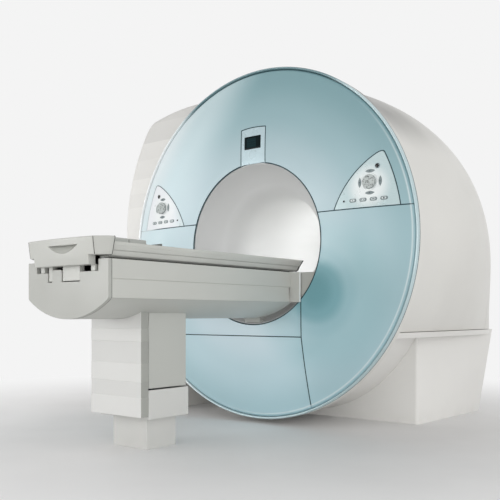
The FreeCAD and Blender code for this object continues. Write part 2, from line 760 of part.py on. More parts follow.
def make_housing_parts():
    parts = {}
    rear_y = housing_shape[-1][0]
    low_z = housing_seam_z + housing_seam_gap / 2
    outer = housing_solid(0, low_z, 0)
    inner = housing_solid(housing_wall, low_z - housing_wall, housing_wall)
    rear_hole = rod(rear_mouth_radius + funnel_wall + fit_gap, V(0, 0, axis_height), back, reach)
    shell = outer.cut([inner, rear_hole])
    along = V(-sin(radians(cold_head_tilt)), 0, cos(radians(cold_head_tilt)))
    cold_hole = rod(cold_head_radius + cold_head_hole_gap,
                    V(0, cold_head_y, axis_height) + along * cryostat_radius, along, reach / 10)
    shell = shell.cut(cold_hole)
    joint = housing_seam_gap / 2
    front_half = block(-reach, reach, -reach, rear_joint_y - joint, 0, reach)
    rear_half = block(-reach, reach, rear_joint_y + joint, reach, 0, reach)
    parts["upper_housing"] = single(shell.common(front_half))
    parts["rear_housing"] = single(shell.common(rear_half))

    # lower covers: collar, foot and a shelf that closes the housing's underside
    top_z = housing_seam_z - housing_seam_gap / 2
    shelf = outer.common(block(-reach, reach, housing_front_y + rest_gap, rear_y - housing_wall,
                               low_z, low_z + shelf_wall))
    shelf.translate(V(0, 0, top_z - shelf_wall - low_z))
    body = foot_solid(0).fuse([collar_solid(0), shelf])
    floor_cut = block(-reach, reach, -reach, reach, -reach, 0)
    room_half = cryostat_half_length + tank_clearance
    tank_room = rod(cryostat_radius + tank_clearance, V(0, -room_half, axis_height), back,
                    2 * room_half)
    hollow = [foot_solid(housing_wall), collar_solid(housing_wall), floor_cut, tank_room]
    body = body.cut(hollow)
    half = centre_joint / 2
    parts["right_lower_cover"] = single(body.common(block(half, reach, -reach, reach, 0, reach)))
    parts["left_lower_cover"] = single(body.common(block(-reach, -half, -reach, reach, 0, reach)))

    cover = shoulder_bar(0).cut(shoulder_bar(shoulder_wall))
    grown = housing_solid(-shoulder_gap, low_z - shoulder_gap, 0)
    beside_shelf = grown.copy()
    beside_shelf.translate(V(0, 0, top_z - shelf_wall - low_z))
    lower = block(-foot_rear_half_high - shoulder_gap, reach, -reach, reach, 0, housing_seam_z)
    barrel = rod(housing_shape[1][1] + shoulder_gap, V(0, -reach, axis_height), back, 2 * reach)
    cover = cover.cut([grown, beside_shelf, lower, barrel.common(block(-reach, reach, -reach, reach, -reach,
                                                         housing_seam_z))])
    parts["left_side_cover"] = single(cover)
    return parts


# --- table ---------------------------------------------------------------------------------------
def keel_steps(half, low_z, side_z):
    # the hull's curved underside, as one arc from side to side
    return [(-half, side_z), ((0, low_z), (half, side_z))]


def hull_section():
    side = hull_half_width - side_panel_wall - rest_gap
    wall = hull_wall
    return [(-hull_half_width, hull_side_low_z), ((0, hull_keel_z), (hull_half_width, hull_side_low_z)),
            (side, hull_side_low_z), (side, hull_top_z - 6), (side - wall, hull_top_z - 6),
            (side - wall, hull_side_low_z + wall / 2),
            ((0, hull_keel_z + wall), (wall - side, hull_side_low_z + wall / 2)),
            (wall - side, hull_top_z - 6), (-side, hull_top_z - 6), (-side, hull_side_low_z)]


def frame_section():
    # aluminium trough of the table, with slots for the two tongues of the top
    half, wall = trough_half_width, frame_wall
    rail_z = top_low_z - rest_gap
    steps = [(-half - wall, frame_bottom_z), (half + wall, frame_bottom_z),
             (half + wall, rail_z), (half, rail_z), (half, trough_floor_z)]
    for low, high in reversed(tongues):
        steps += [(high + tongue_gap, trough_floor_z), (high + tongue_gap, tongue_low_z - tongue_gap),
                  (low - tongue_gap, tongue_low_z - tongue_gap), (low - tongue_gap, trough_floor_z)]
    return steps + [(-half, trough_floor_z), (-half, rail_z), (-half - wall, rail_z)]


def end_cap_section():
    half = hull_half_width
    cut = trough_half_width + 4
    steps = [(-half, hull_side_low_z), ((0, hull_keel_z), (half, hull_side_low_z)),
             (half, hull_top_z), (cut, hull_top_z), (cut, trough_floor_z)]
    (left_low, left_high), (right_low, right_high) = tongues
    slot_z = tongue_low_z - tongue_gap
    steps += [(right_high + tongue_gap, trough_floor_z), (right_high + tongue_gap, slot_z),
              (right_low - tongue_gap, slot_z)]
    tab_right, tab_left = right_low - tongue_gap, left_high + tongue_gap
    bend = 12.0
    turn = bend * (1 - sqrt(0.5))
    steps += [(tab_right, tab_top_z - bend),
              ((tab_right - turn, tab_top_z - turn), (tab_right - bend, tab_top_z)),
              (tab_left + bend, tab_top_z),
              ((tab_left + turn, tab_top_z - turn), (tab_left, tab_top_z - bend))]
    return steps + [(tab_left, slot_z), (left_low - tongue_gap, slot_z),
                    (left_low - tongue_gap, trough_floor_z), (-cut, trough_floor_z),
                    (-cut, hull_top_z), (-half, hull_top_z)]


def top_section():
    step_half = top_half_width - 9
    return [(-top_half_width, top_edge_z), (-top_half_width, top_edge_z - 12),
            (-step_half - 4, top_step_z + 4), (-step_half, top_step_z),
            (-top_low_half_width, top_low_z), (top_low_half_width, top_low_z),
            (step_half, top_step_z), (step_half + 4, top_step_z + 4),
            (top_half_width, top_edge_z - 12), (top_half_width, top_edge_z),
            (top_half_width - 14, top_edge_z),
            ((0, top_dish_z), (14 - top_half_width, top_edge_z))]


def make_hull_parts():
    parts = {}
    cap_rear_y = hull_front_y + end_cap_wall
    hull = bar(hull_section(), cap_rear_y, hull_rear_y)
    far_wall = bar(end_cap_section()[:3] + [(hull_half_width, hull_top_z - 6),
                                            (-hull_half_width, hull_top_z - 6)],
                   hull_rear_y - rear_flange_wall, hull_rear_y)
    flange = bar(box_steps(-rear_flange_half_width, rear_flange_half_width, hull_side_low_z,
                           hull_top_z - 1), hull_rear_y - rear_flange_wall, hull_rear_y)
    ram_hole = rod(ram_radius + 8, V(0, pedestal_mid_y, 0), up, hull_side_low_z)
    parts["table_hull"] = single(hull.fuse([far_wall, flange]).cut(ram_hole))
    parts["hull_end_cap"] = bar(end_cap_section(), hull_front_y, cap_rear_y)

    panel_steps = box_steps(hull_half_width - side_panel_wall, hull_half_width,
                            hull_side_low_z + rest_gap, hull_top_z)
    groove = bar(box_steps(hull_half_width - groove_depth, hull_half_width + 1,
                           hull_groove_z - groove_width / 2, hull_groove_z + groove_width / 2),
                 hull_front_y, 0)
    panel = bar(panel_steps, cap_rear_y + panel_gap, hull_rear_y - rear_flange_wall - rest_gap)
    step_y = hull_rear_y - rear_flange_wall - rest_gap - side_panel_step
    step = block(0, reach, step_y, reach, 0, hull_groove_z)
    panel = single(panel.cut([groove, step]))
    parts["right_side_panel"] = panel
    parts["left_side_panel"] = mirrored(panel)

    frame_rear_y = hull_rear_y - rear_flange_wall
    frame = bar(frame_section(), cap_rear_y, frame_rear_y)
    wall = frame_wall
    (left_low, left_high), (right_low, right_high) = tongues
    chambers = []
    for low, high in ((wall - trough_half_width, left_low - tongue_gap - wall),
                      (left_high + tongue_gap + wall, right_low - tongue_gap - wall),
                      (right_high + tongue_gap + wall, trough_half_width - wall)):
        if high > low:
            chambers.append(block(low, high, cap_rear_y, frame_rear_y,
                                  frame_bottom_z + wall, trough_floor_z - wall))
    mount_half = cylinder_radius + wall
    mount = block(-mount_half, mount_half, pedestal_mid_y - mount_half, pedestal_mid_y + mount_half,
                  ram_top_z, frame_bottom_z)
    parts["table_frame"] = single(frame.cut(chambers).fuse(mount))
    return parts


def make_top_parts():
    parts = {}
    top = bar(top_section(), top_front_y, top_rear_y_high)
    slope = [V(-reach, top_rear_y_high, top_edge_z), V(-reach, top_rear_y_low, top_low_z)]
    slant = Part.Face(Part.makePolygon([
        slope[0], slope[1], V(-reach, top_rear_y_low, 0), V(-reach, reach, 0),
        V(-reach, reach, top_edge_z), slope[0]])).extrude(V(2 * reach, 0, 0))
    parts["tabletop"] = single(top.cut(slant))

    # the nose: crowned in plan, drawn in towards its underside, with a block, two tongues and two
    # pads that run in the trough
    def plan(half, front_shift, z):
        return closed_wire([(-half, top_front_y - nose_joint), (half, top_front_y - nose_joint),
                            (half, nose_side_y + front_shift),
                            ((0, nose_front_y + front_shift), (-half, nose_side_y + front_shift))],
                           lambda x, y: V(x, y, z))
    cap = Part.makeLoft([plan(nose_low_half_width, 10, nose_shoulder_z),
                         plan(nose_half_width, 0, nose_top_z)], True, True)
    top_edges = [edge for edge in cap.Edges
                 if all(abs(vertex.Point.z - nose_top_z) < 0.1 for vertex in edge.Vertexes)
                 and edge.CenterOfMass.y < nose_side_y + 10]
    cap = cap.makeFillet(nose_round, top_edges)
    block_front_y = nose_side_y + 10
    pieces = [block(-nose_block_half_width, nose_block_half_width, block_front_y,
                    top_front_y - nose_joint, nose_block_low_z, nose_shoulder_z)]
    for low, high in tongues:
        pieces.append(block(low, high, block_front_y, top_front_y - nose_joint, tongue_low_z,
                            nose_block_low_z))
    for side in (-1, 1):
        centre = side * (nose_block_half_width - pad_width / 2 - 1)
        pieces.append(block(centre - pad_width / 2, centre + pad_width / 2, block_front_y,
                            top_front_y - nose_joint, trough_floor_z + rest_gap,
                            nose_block_low_z))
    grip_steps = [(grip_centre_x - grip_half_length, grip_high_z),
                  ((grip_centre_x, grip_high_z - grip_drop),
                   (grip_centre_x + grip_half_length, grip_high_z))]
    grip = bar(grip_steps, nose_front_y - 1, nose_front_y + grip_depth)
    parts["tabletop_nose"] = single(cap.fuse(pieces).cut(grip))

    def shaped_block(y_span, top_z):
        solid = block(-block_half_width, block_half_width, y_span[0], y_span[1], top_dish_z - 6,
                      top_z)
        long_edges = [edge for edge in solid.Edges
                      if all(abs(vertex.Point.z - top_z) < 0.1 for vertex in edge.Vertexes)]
        return solid.makeFillet(block_round, long_edges).cut(top)
    one, two = shaped_block(block_one_y, block_top_z), shaped_block(block_two_y, block_top_z)
    low_z = top_dish_z - 6
    wedge = Part.Face(Part.makePolygon([
        V(-block_half_width, block_two_y[1] + 2, low_z), V(-block_half_width, wedge_rear_y, low_z),
        V(-block_half_width, wedge_rear_y, top_edge_z + wedge_height),
        V(-block_half_width, block_two_y[1] + 2, top_edge_z + 2),
        V(-block_half_width, block_two_y[1] + 2, low_z)])).extrude(V(2 * block_half_width, 0, 0))
    parts["socket_blocks"] = Part.makeCompound([single(one), single(two)])
    parts["head_wedge"] = single(wedge.cut(top))
    return parts


def keel_cutter():
    # everything above the hull's underside, lowered by the rest gap
    steps = keel_steps(hull_half_width, hull_keel_z, hull_side_low_z)
    cutter = bar(steps + [(hull_half_width, reach), (-hull_half_width, reach)],
                 hull_front_y, hull_rear_y)
    cutter.translate(V(0, 0, -rest_gap))
    return cutter


def make_lift_parts():
    parts = {}
    front, rear = pedestal_front_y, pedestal_rear_y
    half = base_half_width
    plate = block(-half, half, front + base_margin_y, rear - base_margin_y, 0, base_plate)
    walls = block(-half, half, front + base_margin_y, rear - base_margin_y, base_plate,
                  plinth_low_z)
    walls = walls.cut(block(base_wall - half, half - base_wall, front + base_margin_y + base_wall,
                            rear - base_margin_y - base_wall, 0, plinth_low_z))
    anchors = []
    for side in (-1, 1):
        for end in (-1, 1):
            place = V(side * anchor_spacing_x / 2, pedestal_mid_y + end * anchor_spacing_y / 2, -1)
            anchors.append(rod(anchor_radius, place, up, base_plate + 2))
    parts["table_floor_base"] = single(plate.fuse(walls).cut(anchors))

    wall = plinth_wall
    plinth = block(-plinth_half_width, plinth_half_width, front, rear, plinth_low_z, plinth_top_z)
    upright = [edge for edge in plinth.Edges if abs(edge.Length - plinth_top_z + plinth_low_z) < 0.1]
    plinth = plinth.makeFillet(8.0, upright)
    room = block(wall - plinth_half_width, plinth_half_width - wall, front + wall, rear - wall,
                 plinth_low_z + base_wall, plinth_top_z + 1)
    hole = rod(cylinder_radius + 2, V(0, pedestal_mid_y, 0), up, plinth_top_z)
    parts["table_plinth"] = single(plinth.cut([room, hole]))

    gap = plinth_wall + column_gap
    keel = keel_cutter()
    column = block(gap - plinth_half_width, plinth_half_width - gap, front + gap, rear - gap,
                   column_low_z, hull_top_z)
    upright = [edge for edge in column.Edges if abs(edge.Length - hull_top_z + column_low_z) < 0.1]
    column = column.makeFillet(6.0, upright)
    inner = block(gap + column_wall - plinth_half_width, plinth_half_width - gap - column_wall,
                  front + gap + column_wall, rear - gap - column_wall, 0, reach)
    parts["lift_column"] = single(column.cut([inner, keel]))

    skirt = block(-skirt_half_width, skirt_half_width, skirt_front_y, skirt_rear_y, skirt_low_z,
                  hull_top_z)
    corners = [edge for edge in skirt.Edges
               if abs(edge.Length - hull_top_z + skirt_low_z) < 0.1
               and edge.CenterOfMass.y < skirt_front_y + 1]
    skirt = skirt.makeFillet(3.0, corners)
    inner = block(skirt_wall - skirt_half_width, skirt_half_width - skirt_wall,
                  skirt_front_y + skirt_wall, reach, skirt_low_z + skirt_wall, reach)
    parts["lift_skirt"] = single(skirt.cut([inner, keel]))

    guide_y = hull_rear_y + rest_gap
    half = guide_half_width
    guide = block(-half, half, guide_y, guide_y + guide_wall, guide_low_z, guide_top_z)
    mouth_y = rim_y - dome_rise + 5.0 + funnel_wall
    foot = block(-half, half, guide_y, guide_y + guide_foot_depth,
                 axis_height - opening_radius, guide_low_z + guide_foot_height)
    foot = foot.common(funnel_room())
    lower = block(-reach, reach, mouth_y, reach, 0, reach)
    parts["docking_guide"] = single(guide.fuse(foot.common(lower).fuse(
        block(-half, half, guide_y, mouth_y, guide_low_z, guide_low_z + guide_foot_height))))

    centre = V(0, pedestal_mid_y, 0)
    cylinder = rod(cylinder_radius, centre + up * base_plate, up, cylinder_top_z - base_plate)
    bore = rod(ram_radius + ram_fit, centre + up * cylinder_floor_z, up, cylinder_top_z)
    parts["lift_cylinder"] = single(cylinder.cut(bore))
    parts["lift_ram"] = rod(ram_radius, centre + up * ram_low_z, up, ram_top_z - ram_low_z)
    return parts


parts = {}
parts.update(make_ring_parts())
parts.update(make_tunnel_parts())
parts.update(make_magnet_parts())
parts.update(make_housing_parts())
parts.update(make_hull_parts())
parts.update(make_top_parts())
parts.update(make_lift_parts())

os.makedirs("parts", exist_ok=True)
for name, shape in parts.items():
    shape.exportStep(f"parts/{name}.step")
    print(name, "solids", len(shape.Solids), "valid", shape.isValid(),
          "litres", round(shape.Volume / 1e6, 3))
print(len(parts), "parts")
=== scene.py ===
# Magnetic resonance scanner: finer covers, keys, dials, table pieces and finishes over the packed
# model. Metres, in the model's own frame: +Z up, +Y along the tunnel, the floor at z = 0.
from math import pi, radians
import bmesh
import bpy
import numpy as np
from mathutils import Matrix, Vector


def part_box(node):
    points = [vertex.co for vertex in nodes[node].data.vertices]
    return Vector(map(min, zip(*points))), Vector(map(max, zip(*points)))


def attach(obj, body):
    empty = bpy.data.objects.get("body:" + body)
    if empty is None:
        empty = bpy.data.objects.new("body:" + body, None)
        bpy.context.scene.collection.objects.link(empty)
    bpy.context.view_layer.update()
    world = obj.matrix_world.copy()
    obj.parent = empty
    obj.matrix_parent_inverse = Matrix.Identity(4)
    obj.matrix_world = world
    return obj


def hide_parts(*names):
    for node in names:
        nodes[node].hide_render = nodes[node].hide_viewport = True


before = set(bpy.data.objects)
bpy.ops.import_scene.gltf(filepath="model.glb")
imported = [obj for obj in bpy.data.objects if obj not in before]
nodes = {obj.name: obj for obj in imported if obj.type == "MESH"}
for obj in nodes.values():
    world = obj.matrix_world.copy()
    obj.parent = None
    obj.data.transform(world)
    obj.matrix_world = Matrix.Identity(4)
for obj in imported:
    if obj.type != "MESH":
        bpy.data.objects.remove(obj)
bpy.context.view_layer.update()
sides = (("right", 1), ("left", -1))       # seen from the front, with +X on the right
axisHeight = 1.045
axis = (0.0, axisHeight)                   # x and z of the tunnel's middle
print("model loaded:", len(nodes), "nodes")


class Graph:
    # the nodes of a material or of the air round the scanner, with the joins that both need
    def __init__(self, owner):
        owner.use_nodes = True
        self.nodes, self.links = owner.node_tree.nodes, owner.node_tree.links

    def put(self, socket, value):
        # a number, a colour or another node's output goes into a socket
        if isinstance(value, (int, float)):
            socket.default_value = value
        elif isinstance(value, tuple):
            socket.default_value = value if socket.type == "VECTOR" else (*value, 1)
        else:
            self.links.new(value, socket)

    def add(self, kind, **values):
        node = self.nodes.new(kind)
        for name, value in values.items():
            self.put(node.inputs[name], value)
        return node

    def math(self, kind, *values):
        node = self.add("ShaderNodeMath")
        node.operation = kind
        for socket, value in zip(node.inputs, values):
            self.put(socket, value)
        return node.outputs[0]

    def seenRays(self):
        # 1 for rays that show the backdrop: straight to the camera, mirrored or through glass
        rays = self.add("ShaderNodeLightPath")
        seen = rays.outputs["Is Camera Ray"]
        for kind in ("Is Glossy Ray", "Is Transmission Ray"):
            seen = self.math("MAXIMUM", seen, rays.outputs[kind])
        return seen

    def finishWith(self, share, first, second, output):
        # the output gets the first shader, and the second one by its share
        blend = self.add("ShaderNodeMixShader", Fac=share)
        self.links.new(first.outputs[0], blend.inputs[1])
        self.links.new(second.outputs[0], blend.inputs[2])
        self.links.new(blend.outputs[0], self.nodes[output].inputs["Surface"])


# camera, lamps and air of the studio
studio = {
    "cameraPlace": (2.6153, -4.0925, 0.6350),
    "cameraTurn": 0.674,          # radians to the left of +Y
    "lens": 52.2,
    "shiftUp": 0.129,
    "backdrop": (0.905, 0.905, 0.905),
    "fillColour": (1.0, 0.998, 0.987),
    "fillLevel": 1.30,            # light from all round
    "fillRight": 0.16,            # more of it from +X
    "fillAbove": -1.06,           # less of it from above
    "floorRadius": 14.0,
    "floorNear": (0.93, 0.925, 0.925),
}
lamps = {                         # a disc aimed at a spot; without an aim it shines all ways
    "keyLamp": {"place": (-3.9, -6.2, 1.6), "aim": (0.0, -0.8, 1.0), "size": 2.2, "power": 66.0},
    "sideLamp": {"place": (4.6, -4.6, 0.8), "aim": (0.3, -1.0, 0.6), "size": 3.0, "power": 62.0},
    "boreLamp": {"place": (0.17, 0.12, 1.14), "aim": None, "size": 0.12, "power": 2.15},
}


def addLamp(name, place, aim, size, power):
    lamp = bpy.data.lights.new(name, "AREA" if aim else "POINT")
    lamp.energy = power
    holder = bpy.data.objects.new(name, lamp)
    holder.location = place
    holder.visible_camera = False
    bpy.context.scene.collection.objects.link(holder)
    if aim:
        lamp.shape = "DISK"
        lamp.size = size
        x, y, z = np.array(aim) - np.array(holder.location)
        holder.rotation_euler = (np.arctan2(np.hypot(x, y), -z), 0.0, np.arctan2(-x, y))
    else:
        lamp.shadow_soft_size = size


view = bpy.data.cameras.new("photoView")
view.lens = studio["lens"]
view.sensor_width = 36.0
view.shift_y = studio["shiftUp"]
view.clip_end = 60.0
viewHolder = bpy.data.objects.new("photoView", view)
viewHolder.location = studio["cameraPlace"]
viewHolder.rotation_euler = (pi / 2, 0.0, studio["cameraTurn"])
bpy.context.scene.collection.objects.link(viewHolder)
bpy.context.scene.camera = viewHolder
bpy.context.scene.view_settings.view_transform = "Standard"
for name, lamp in lamps.items():
    addLamp(name, **lamp)

world = bpy.data.worlds.new("studioAir")
bpy.context.scene.world = world
air = Graph(world)
lit = air.nodes["Background"]
direction = air.add("ShaderNodeSeparateXYZ",
                    Vector=air.add("ShaderNodeTexCoord").outputs["Generated"])
strength = studio["fillLevel"]
for letter, gain in (("X", studio["fillRight"]), ("Z", studio["fillAbove"])):
    facing = air.math("MAXIMUM", direction.outputs[letter], 0.0)
    strength = air.math("MULTIPLY_ADD", facing, gain, strength)
air.put(lit.inputs["Color"], studio["fillColour"])
air.put(lit.inputs["Strength"], strength)
air.finishWith(air.seenRays(), lit, air.add("ShaderNodeBackground", Color=studio["backdrop"]),
               "World Output")
print("camera and studio set")


# finishes
def tone(red, green, blue):
    # a colour given in the usual 0 to 255 steps, as Blender's linear values
    steps = np.array([red, green, blue]) / 255.0
    return tuple(np.where(steps <= 0.04045, steps / 12.92, ((steps + 0.055) / 1.055) ** 2.4))


def scaled(colour, factor):
    return tuple(min(1.0, part * factor) for part in colour)


class Finish(Graph):
    # one node material that reads Object coordinates
    def __init__(self, name):
        self.material = bpy.data.materials.new(name)
        super().__init__(self.material)
        self.shader = self.nodes["Principled BSDF"]
        self.place = self.add("ShaderNodeTexCoord").outputs["Object"]

    def noise(self, scale, detail, stretch=None):
        source = self.place
        if stretch:
            source = self.add("ShaderNodeMapping", Vector=source, Scale=stretch).outputs["Vector"]
        return self.add("ShaderNodeTexNoise", Vector=source, Scale=scale,
                        Detail=detail).outputs["Fac"]

    def ramp(self, source, *stops, smooth=True):
        # stops are (place, colour or grey level) in rising order
        node = self.add("ShaderNodeValToRGB", Fac=source)
        band = node.color_ramp
        band.interpolation = "EASE" if smooth else "CONSTANT"
        for spot, shade in stops[1:-1]:
            band.elements.new(spot)
        for element, (spot, shade) in zip(band.elements, stops):
            element.position = spot
            element.color = (*(shade if isinstance(shade, tuple) else (shade,) * 3), 1)
        return node.outputs["Color"]

    def patches(self, scale, detail, low, high):
        # soft patches that drift between two colours or grey levels
        return self.ramp(self.noise(scale, detail), (0.3, low), (0.7, high))

    def mix(self, share, first, second, kind="MIX"):
        node = self.add("ShaderNodeMix")
        node.data_type = "RGBA"
        node.blend_type = kind
        for number, value in ((0, share), (6, first), (7, second)):    # its sockets for colours
            self.put(node.inputs[number], value)
        return node.outputs[2]

    def times(self, first, second):
        return self.mix(1.0, first, second, "MULTIPLY")

    def squares(self, first, second):
        return self.math("ADD", self.math("MULTIPLY", first, first),
                         self.math("MULTIPLY", second, second))

    def axis(self, letter):
        return self.add("ShaderNodeSeparateXYZ", Vector=self.place).outputs[letter]

    def beyond(self, letter, start):
        return self.math("SUBTRACT", self.axis(letter), start)

    def between(self, letter, low, high):
        # 0 to 1 between two places on an axis
        return self.math("DIVIDE", self.beyond(letter, low), high - low)

    def leftwards(self, body, target, start, end, most=1.0):
        # drifts towards target between two distances to the left of the middle
        away = self.math("MULTIPLY", self.axis("X"), -1.0)
        return self.mix(self.ramp(away, (start, 0.0), (end, most)), body, target)

    def bump(self, source, strength, depth):
        node = self.add("ShaderNodeBump", Strength=strength, Distance=depth, Height=source)
        self.links.new(node.outputs["Normal"], self.shader.inputs["Normal"])

    def give(self, body, roughness, **sockets):
        # roughness is a number, a node's output or patches: (scale, detail, low, high);
        # underscores stand for spaces in the other sockets' names
        if isinstance(roughness, tuple):
            roughness = self.patches(*roughness)
        for name, value in {"Base_Color": body, "Roughness": roughness, **sockets}.items():
            self.put(self.shader.inputs[name.replace("_", " ")], value)
        return self.material

    def spray(self, body, roughness, **sockets):
        # satin paint with a fine peel
        self.bump(self.noise(260.0, 2.0), 0.05, 0.0006)
        return self.give(body, roughness, **sockets)


highUp = 1.2                      # painted shades of the upper covers are measured from this height
# colour of the painted light on the ring's upper left
paintedLightTone = tone(240, 243, 245)
tableShadowSpot = (0.44, 0.76)        # x and z of the middle of the table's painted shadow on the ring
keyField = (0.752, 1.300)         # x and z of the light field round the keys


def paintedCover(name, colour, gloss, coat, drift, dusty=True, paintedShade=False):
    # moulded panel in satin paint: slow drift of tone, fine peel, a little dust near the floor; a
    # painted shade may deepen it high up, close behind the ring
    finish = Finish(name)
    body = finish.patches(1.7, 4.0, scaled(colour, 1 - drift), scaled(colour, 1 + drift))
    if dusty:
        low = finish.ramp(finish.axis("Z"), (0.0, 0.10), (0.10, 0.0))
        patchy = finish.ramp(finish.noise(9.0, 6.0), (0.35, 0.2), (0.75, 1.0))
        body = finish.mix(finish.times(low, patchy), body, tone(150, 146, 138))
    if paintedShade:
        # painted shade: darkest close behind the ring and high up, fading towards the back and
        # downwards
        behind = finish.ramp(finish.math("ADD", finish.axis("Y"), 0.69), (0.0, 0.40),
                             (0.20, 0.44), (0.36, 0.56), (0.60, 0.83), (0.85, 1.0))
        high = finish.ramp(finish.beyond("Z", highUp), (0.30, 0.0), (0.58, 1.0))
        body = finish.mix(high, body, finish.times(body, behind))
    return finish.spray(body, (5.0, 5.0, gloss - 0.05, gloss + 0.06), Coat_Weight=coat,
                        Coat_Roughness=0.18, Specular_IOR_Level=0.45)


def ringPaintAndLight(name, inner, mid, outer, gain):
    # satin paint of the ring cover, with painted light and shade: painted shade deepens it from
    # the mouth towards the rim, a painted shadow of the table deepens it beside the table, and
    # painted light lightens it towards the floor and the left
    finish = Finish(name)
    across, upward = finish.axis("X"), finish.beyond("Z", axisHeight)
    reach = finish.math("SQRT", finish.squares(across, upward))
    # painted shade: deeper from the mouth towards the rim
    fade = finish.ramp(reach, (0.56, inner), (0.75, mid), (0.97, outer))
    # painted light and shade: lighter towards the floor, deeper towards the top
    tilt = finish.math("ADD", finish.math("DIVIDE", finish.axis("Z"), 2.1),
                       finish.math("MULTIPLY", across, 0.08))
    light = finish.ramp(tilt, (0.0, (1.0, 0.95, 0.97)), (0.25, (0.96, 0.91, 0.93)),
                        (0.5, (0.80, 0.78, 0.79)), (1.0, (0.43, 0.49, 0.50)))
    # painted light: lighter towards the upper left
    leftUp = finish.math("SUBTRACT", finish.math("MULTIPLY", upward, 0.6), across)
    side = finish.ramp(leftUp, (0.48, 0.74), (1.0, 1.0))
    # painted shadow of the table, beside its far end
    beside = finish.math("SUBTRACT", across, tableShadowSpot[0])
    below = finish.beyond("Z", tableShadowSpot[1])
    shade = finish.ramp(finish.math("MULTIPLY", finish.squares(beside, below), 4.0),
                        (0.0, (0.30, 0.54, 0.56)), (0.063, (0.42, 0.66, 0.68)),
                        (0.16, (0.70, 0.85, 0.86)), (0.30, (0.79, 0.90, 0.90)), (1.0, 1.0))
    for layer in (light, side, shade, (gain,) * 3):
        fade = finish.times(fade, layer)
    # painted light: the upper left runs out into a pale tone
    paintedLightShare = finish.ramp(finish.math("MULTIPLY", leftUp, 0.8), (0.42, 0.0), (0.72, 0.36),
                       (0.96, 0.74))
    fade = finish.mix(paintedLightShare, fade, paintedLightTone)
    # a painted highlight runs as a hairline inside the rim, low on the right
    lowRight = finish.ramp(finish.math("SUBTRACT", finish.math("MULTIPLY", across, 0.8),
                                       finish.math("MULTIPLY", upward, 0.5)),
                           (0.10, 0.0), (0.75, 0.40))
    rimHighlight = finish.ramp(reach, (0.9815, 0.0), (0.9850, 1.0), (0.9890, 1.0), (0.9925, 0.0))
    fade = finish.mix(finish.times(rimHighlight, lowRight), fade, tone(250, 252, 252))
    return finish.spray(finish.times(fade, finish.patches(1.7, 4.0, 0.97, 1.0)),
                        (5.0, 5.0, 0.30, 0.40), Coat_Weight=0.2, Coat_Roughness=0.2,
                        Specular_IOR_Level=0.45)


def tunnelPaint(name, colour):
    # satin white of the tunnel, with painted shade that deepens it towards the mouth
    finish = Finish(name)
    mouthShade = finish.ramp(finish.math("ADD", finish.axis("Y"), 0.8), (0.0, 0.80), (0.15, 0.84),
                         (0.36, 1.0))
    body = finish.times(finish.patches(1.7, 4.0, scaled(colour, 0.985), colour), mouthShade)
    return finish.spray(body, (5.0, 5.0, 0.34, 0.44), Coat_Weight=0.1, Coat_Roughness=0.2,
                        Specular_IOR_Level=0.4)


def edgePaint(name, colour):
    # clear-coated metallic paint of the ring's rim, with a barely seen flake; painted light
    # whitens it on the left, and painted shade deepens it at the very top
    finish = Finish(name)
    flake = finish.ramp(finish.noise(1800.0, 1.0), (0.35, scaled(colour, 0.97)),
                        (0.65, scaled(colour, 1.04)))
    flake = finish.leftwards(flake, tone(240, 243, 244), 0.30, 0.85)
    topShade = finish.ramp(finish.beyond("Z", highUp), (0.63, 0.0), (0.75, 1.0))
    return finish.give(finish.mix(topShade, flake, tone(98, 128, 134)), (6.0, 4.0, 0.20, 0.27),
                       Metallic=0.2, Coat_Weight=0.5, Coat_Roughness=0.08)


def lightBandedCover(name, colour, edges, shares, low, high):
    # satin paint with faint level bands of painted light and shade: heights of their lower edges,
    # and each one's share
    finish = Finish(name)
    stops = [((edge - low) / (high - low), scaled(colour, share))
             for edge, share in zip((low, *edges), (1.0, *shares))]
    bands = finish.ramp(finish.between("Z", low, high), *stops, smooth=False)
    return finish.spray(finish.times(bands, finish.patches(1.9, 4.0, 0.965, 1.0)),
                        (6.0, 5.0, 0.34, 0.46), Specular_IOR_Level=0.4)


def grainedPlastic(name, colour, grain, gloss, depth=0.0004):
    # moulded plastic with a fine spark-eroded grain
    finish = Finish(name)
    fine = finish.noise(grain, 2.0)
    body = finish.mix(finish.patches(3.0, 5.0, 0.0, 1.0), scaled(colour, 0.96),
                      scaled(colour, 1.03))
    body = finish.mix(0.08, body, finish.ramp(fine, (0.3, scaled(colour, 0.7)),
                                              (0.7, scaled(colour, 1.2))))
    finish.bump(fine, 0.12, depth)
    return finish.give(body, (14.0, 4.0, gloss - 0.06, gloss + 0.08), Specular_IOR_Level=0.4)


def dimpledGrip(name, colour):
    # soft grip of the dials: close dimples, with painted shade deepening the tone in their pits
    finish = Finish(name)
    pits = finish.add("ShaderNodeTexVoronoi", Vector=finish.place, Scale=95.0).outputs["Distance"]
    finish.bump(pits, 0.4, 0.0012)
    body = finish.ramp(pits, (0.08, scaled(colour, 0.42)), (0.62, scaled(colour, 1.42)))
    return finish.give(body, (14.0, 4.0, 0.32, 0.44), Specular_IOR_Level=0.35)


def brushedMetal(name, colour, gloss, metal, stretch, wear=0.06):
    # metal or metallic paint with fine lines one way and cloudy patches of roughness
    finish = Finish(name)
    lines = finish.noise(40.0, 6.0, stretch)
    finish.bump(lines, 0.06, 0.0004)
    rough = finish.ramp(finish.noise(7.0, 5.0), (0.3, gloss - 0.07), (0.75, gloss + 0.1))
    return finish.give(finish.ramp(lines, (0.3, scaled(colour, 1 - wear)),
                                   (0.7, scaled(colour, 1 + wear))), rough, Metallic=metal)


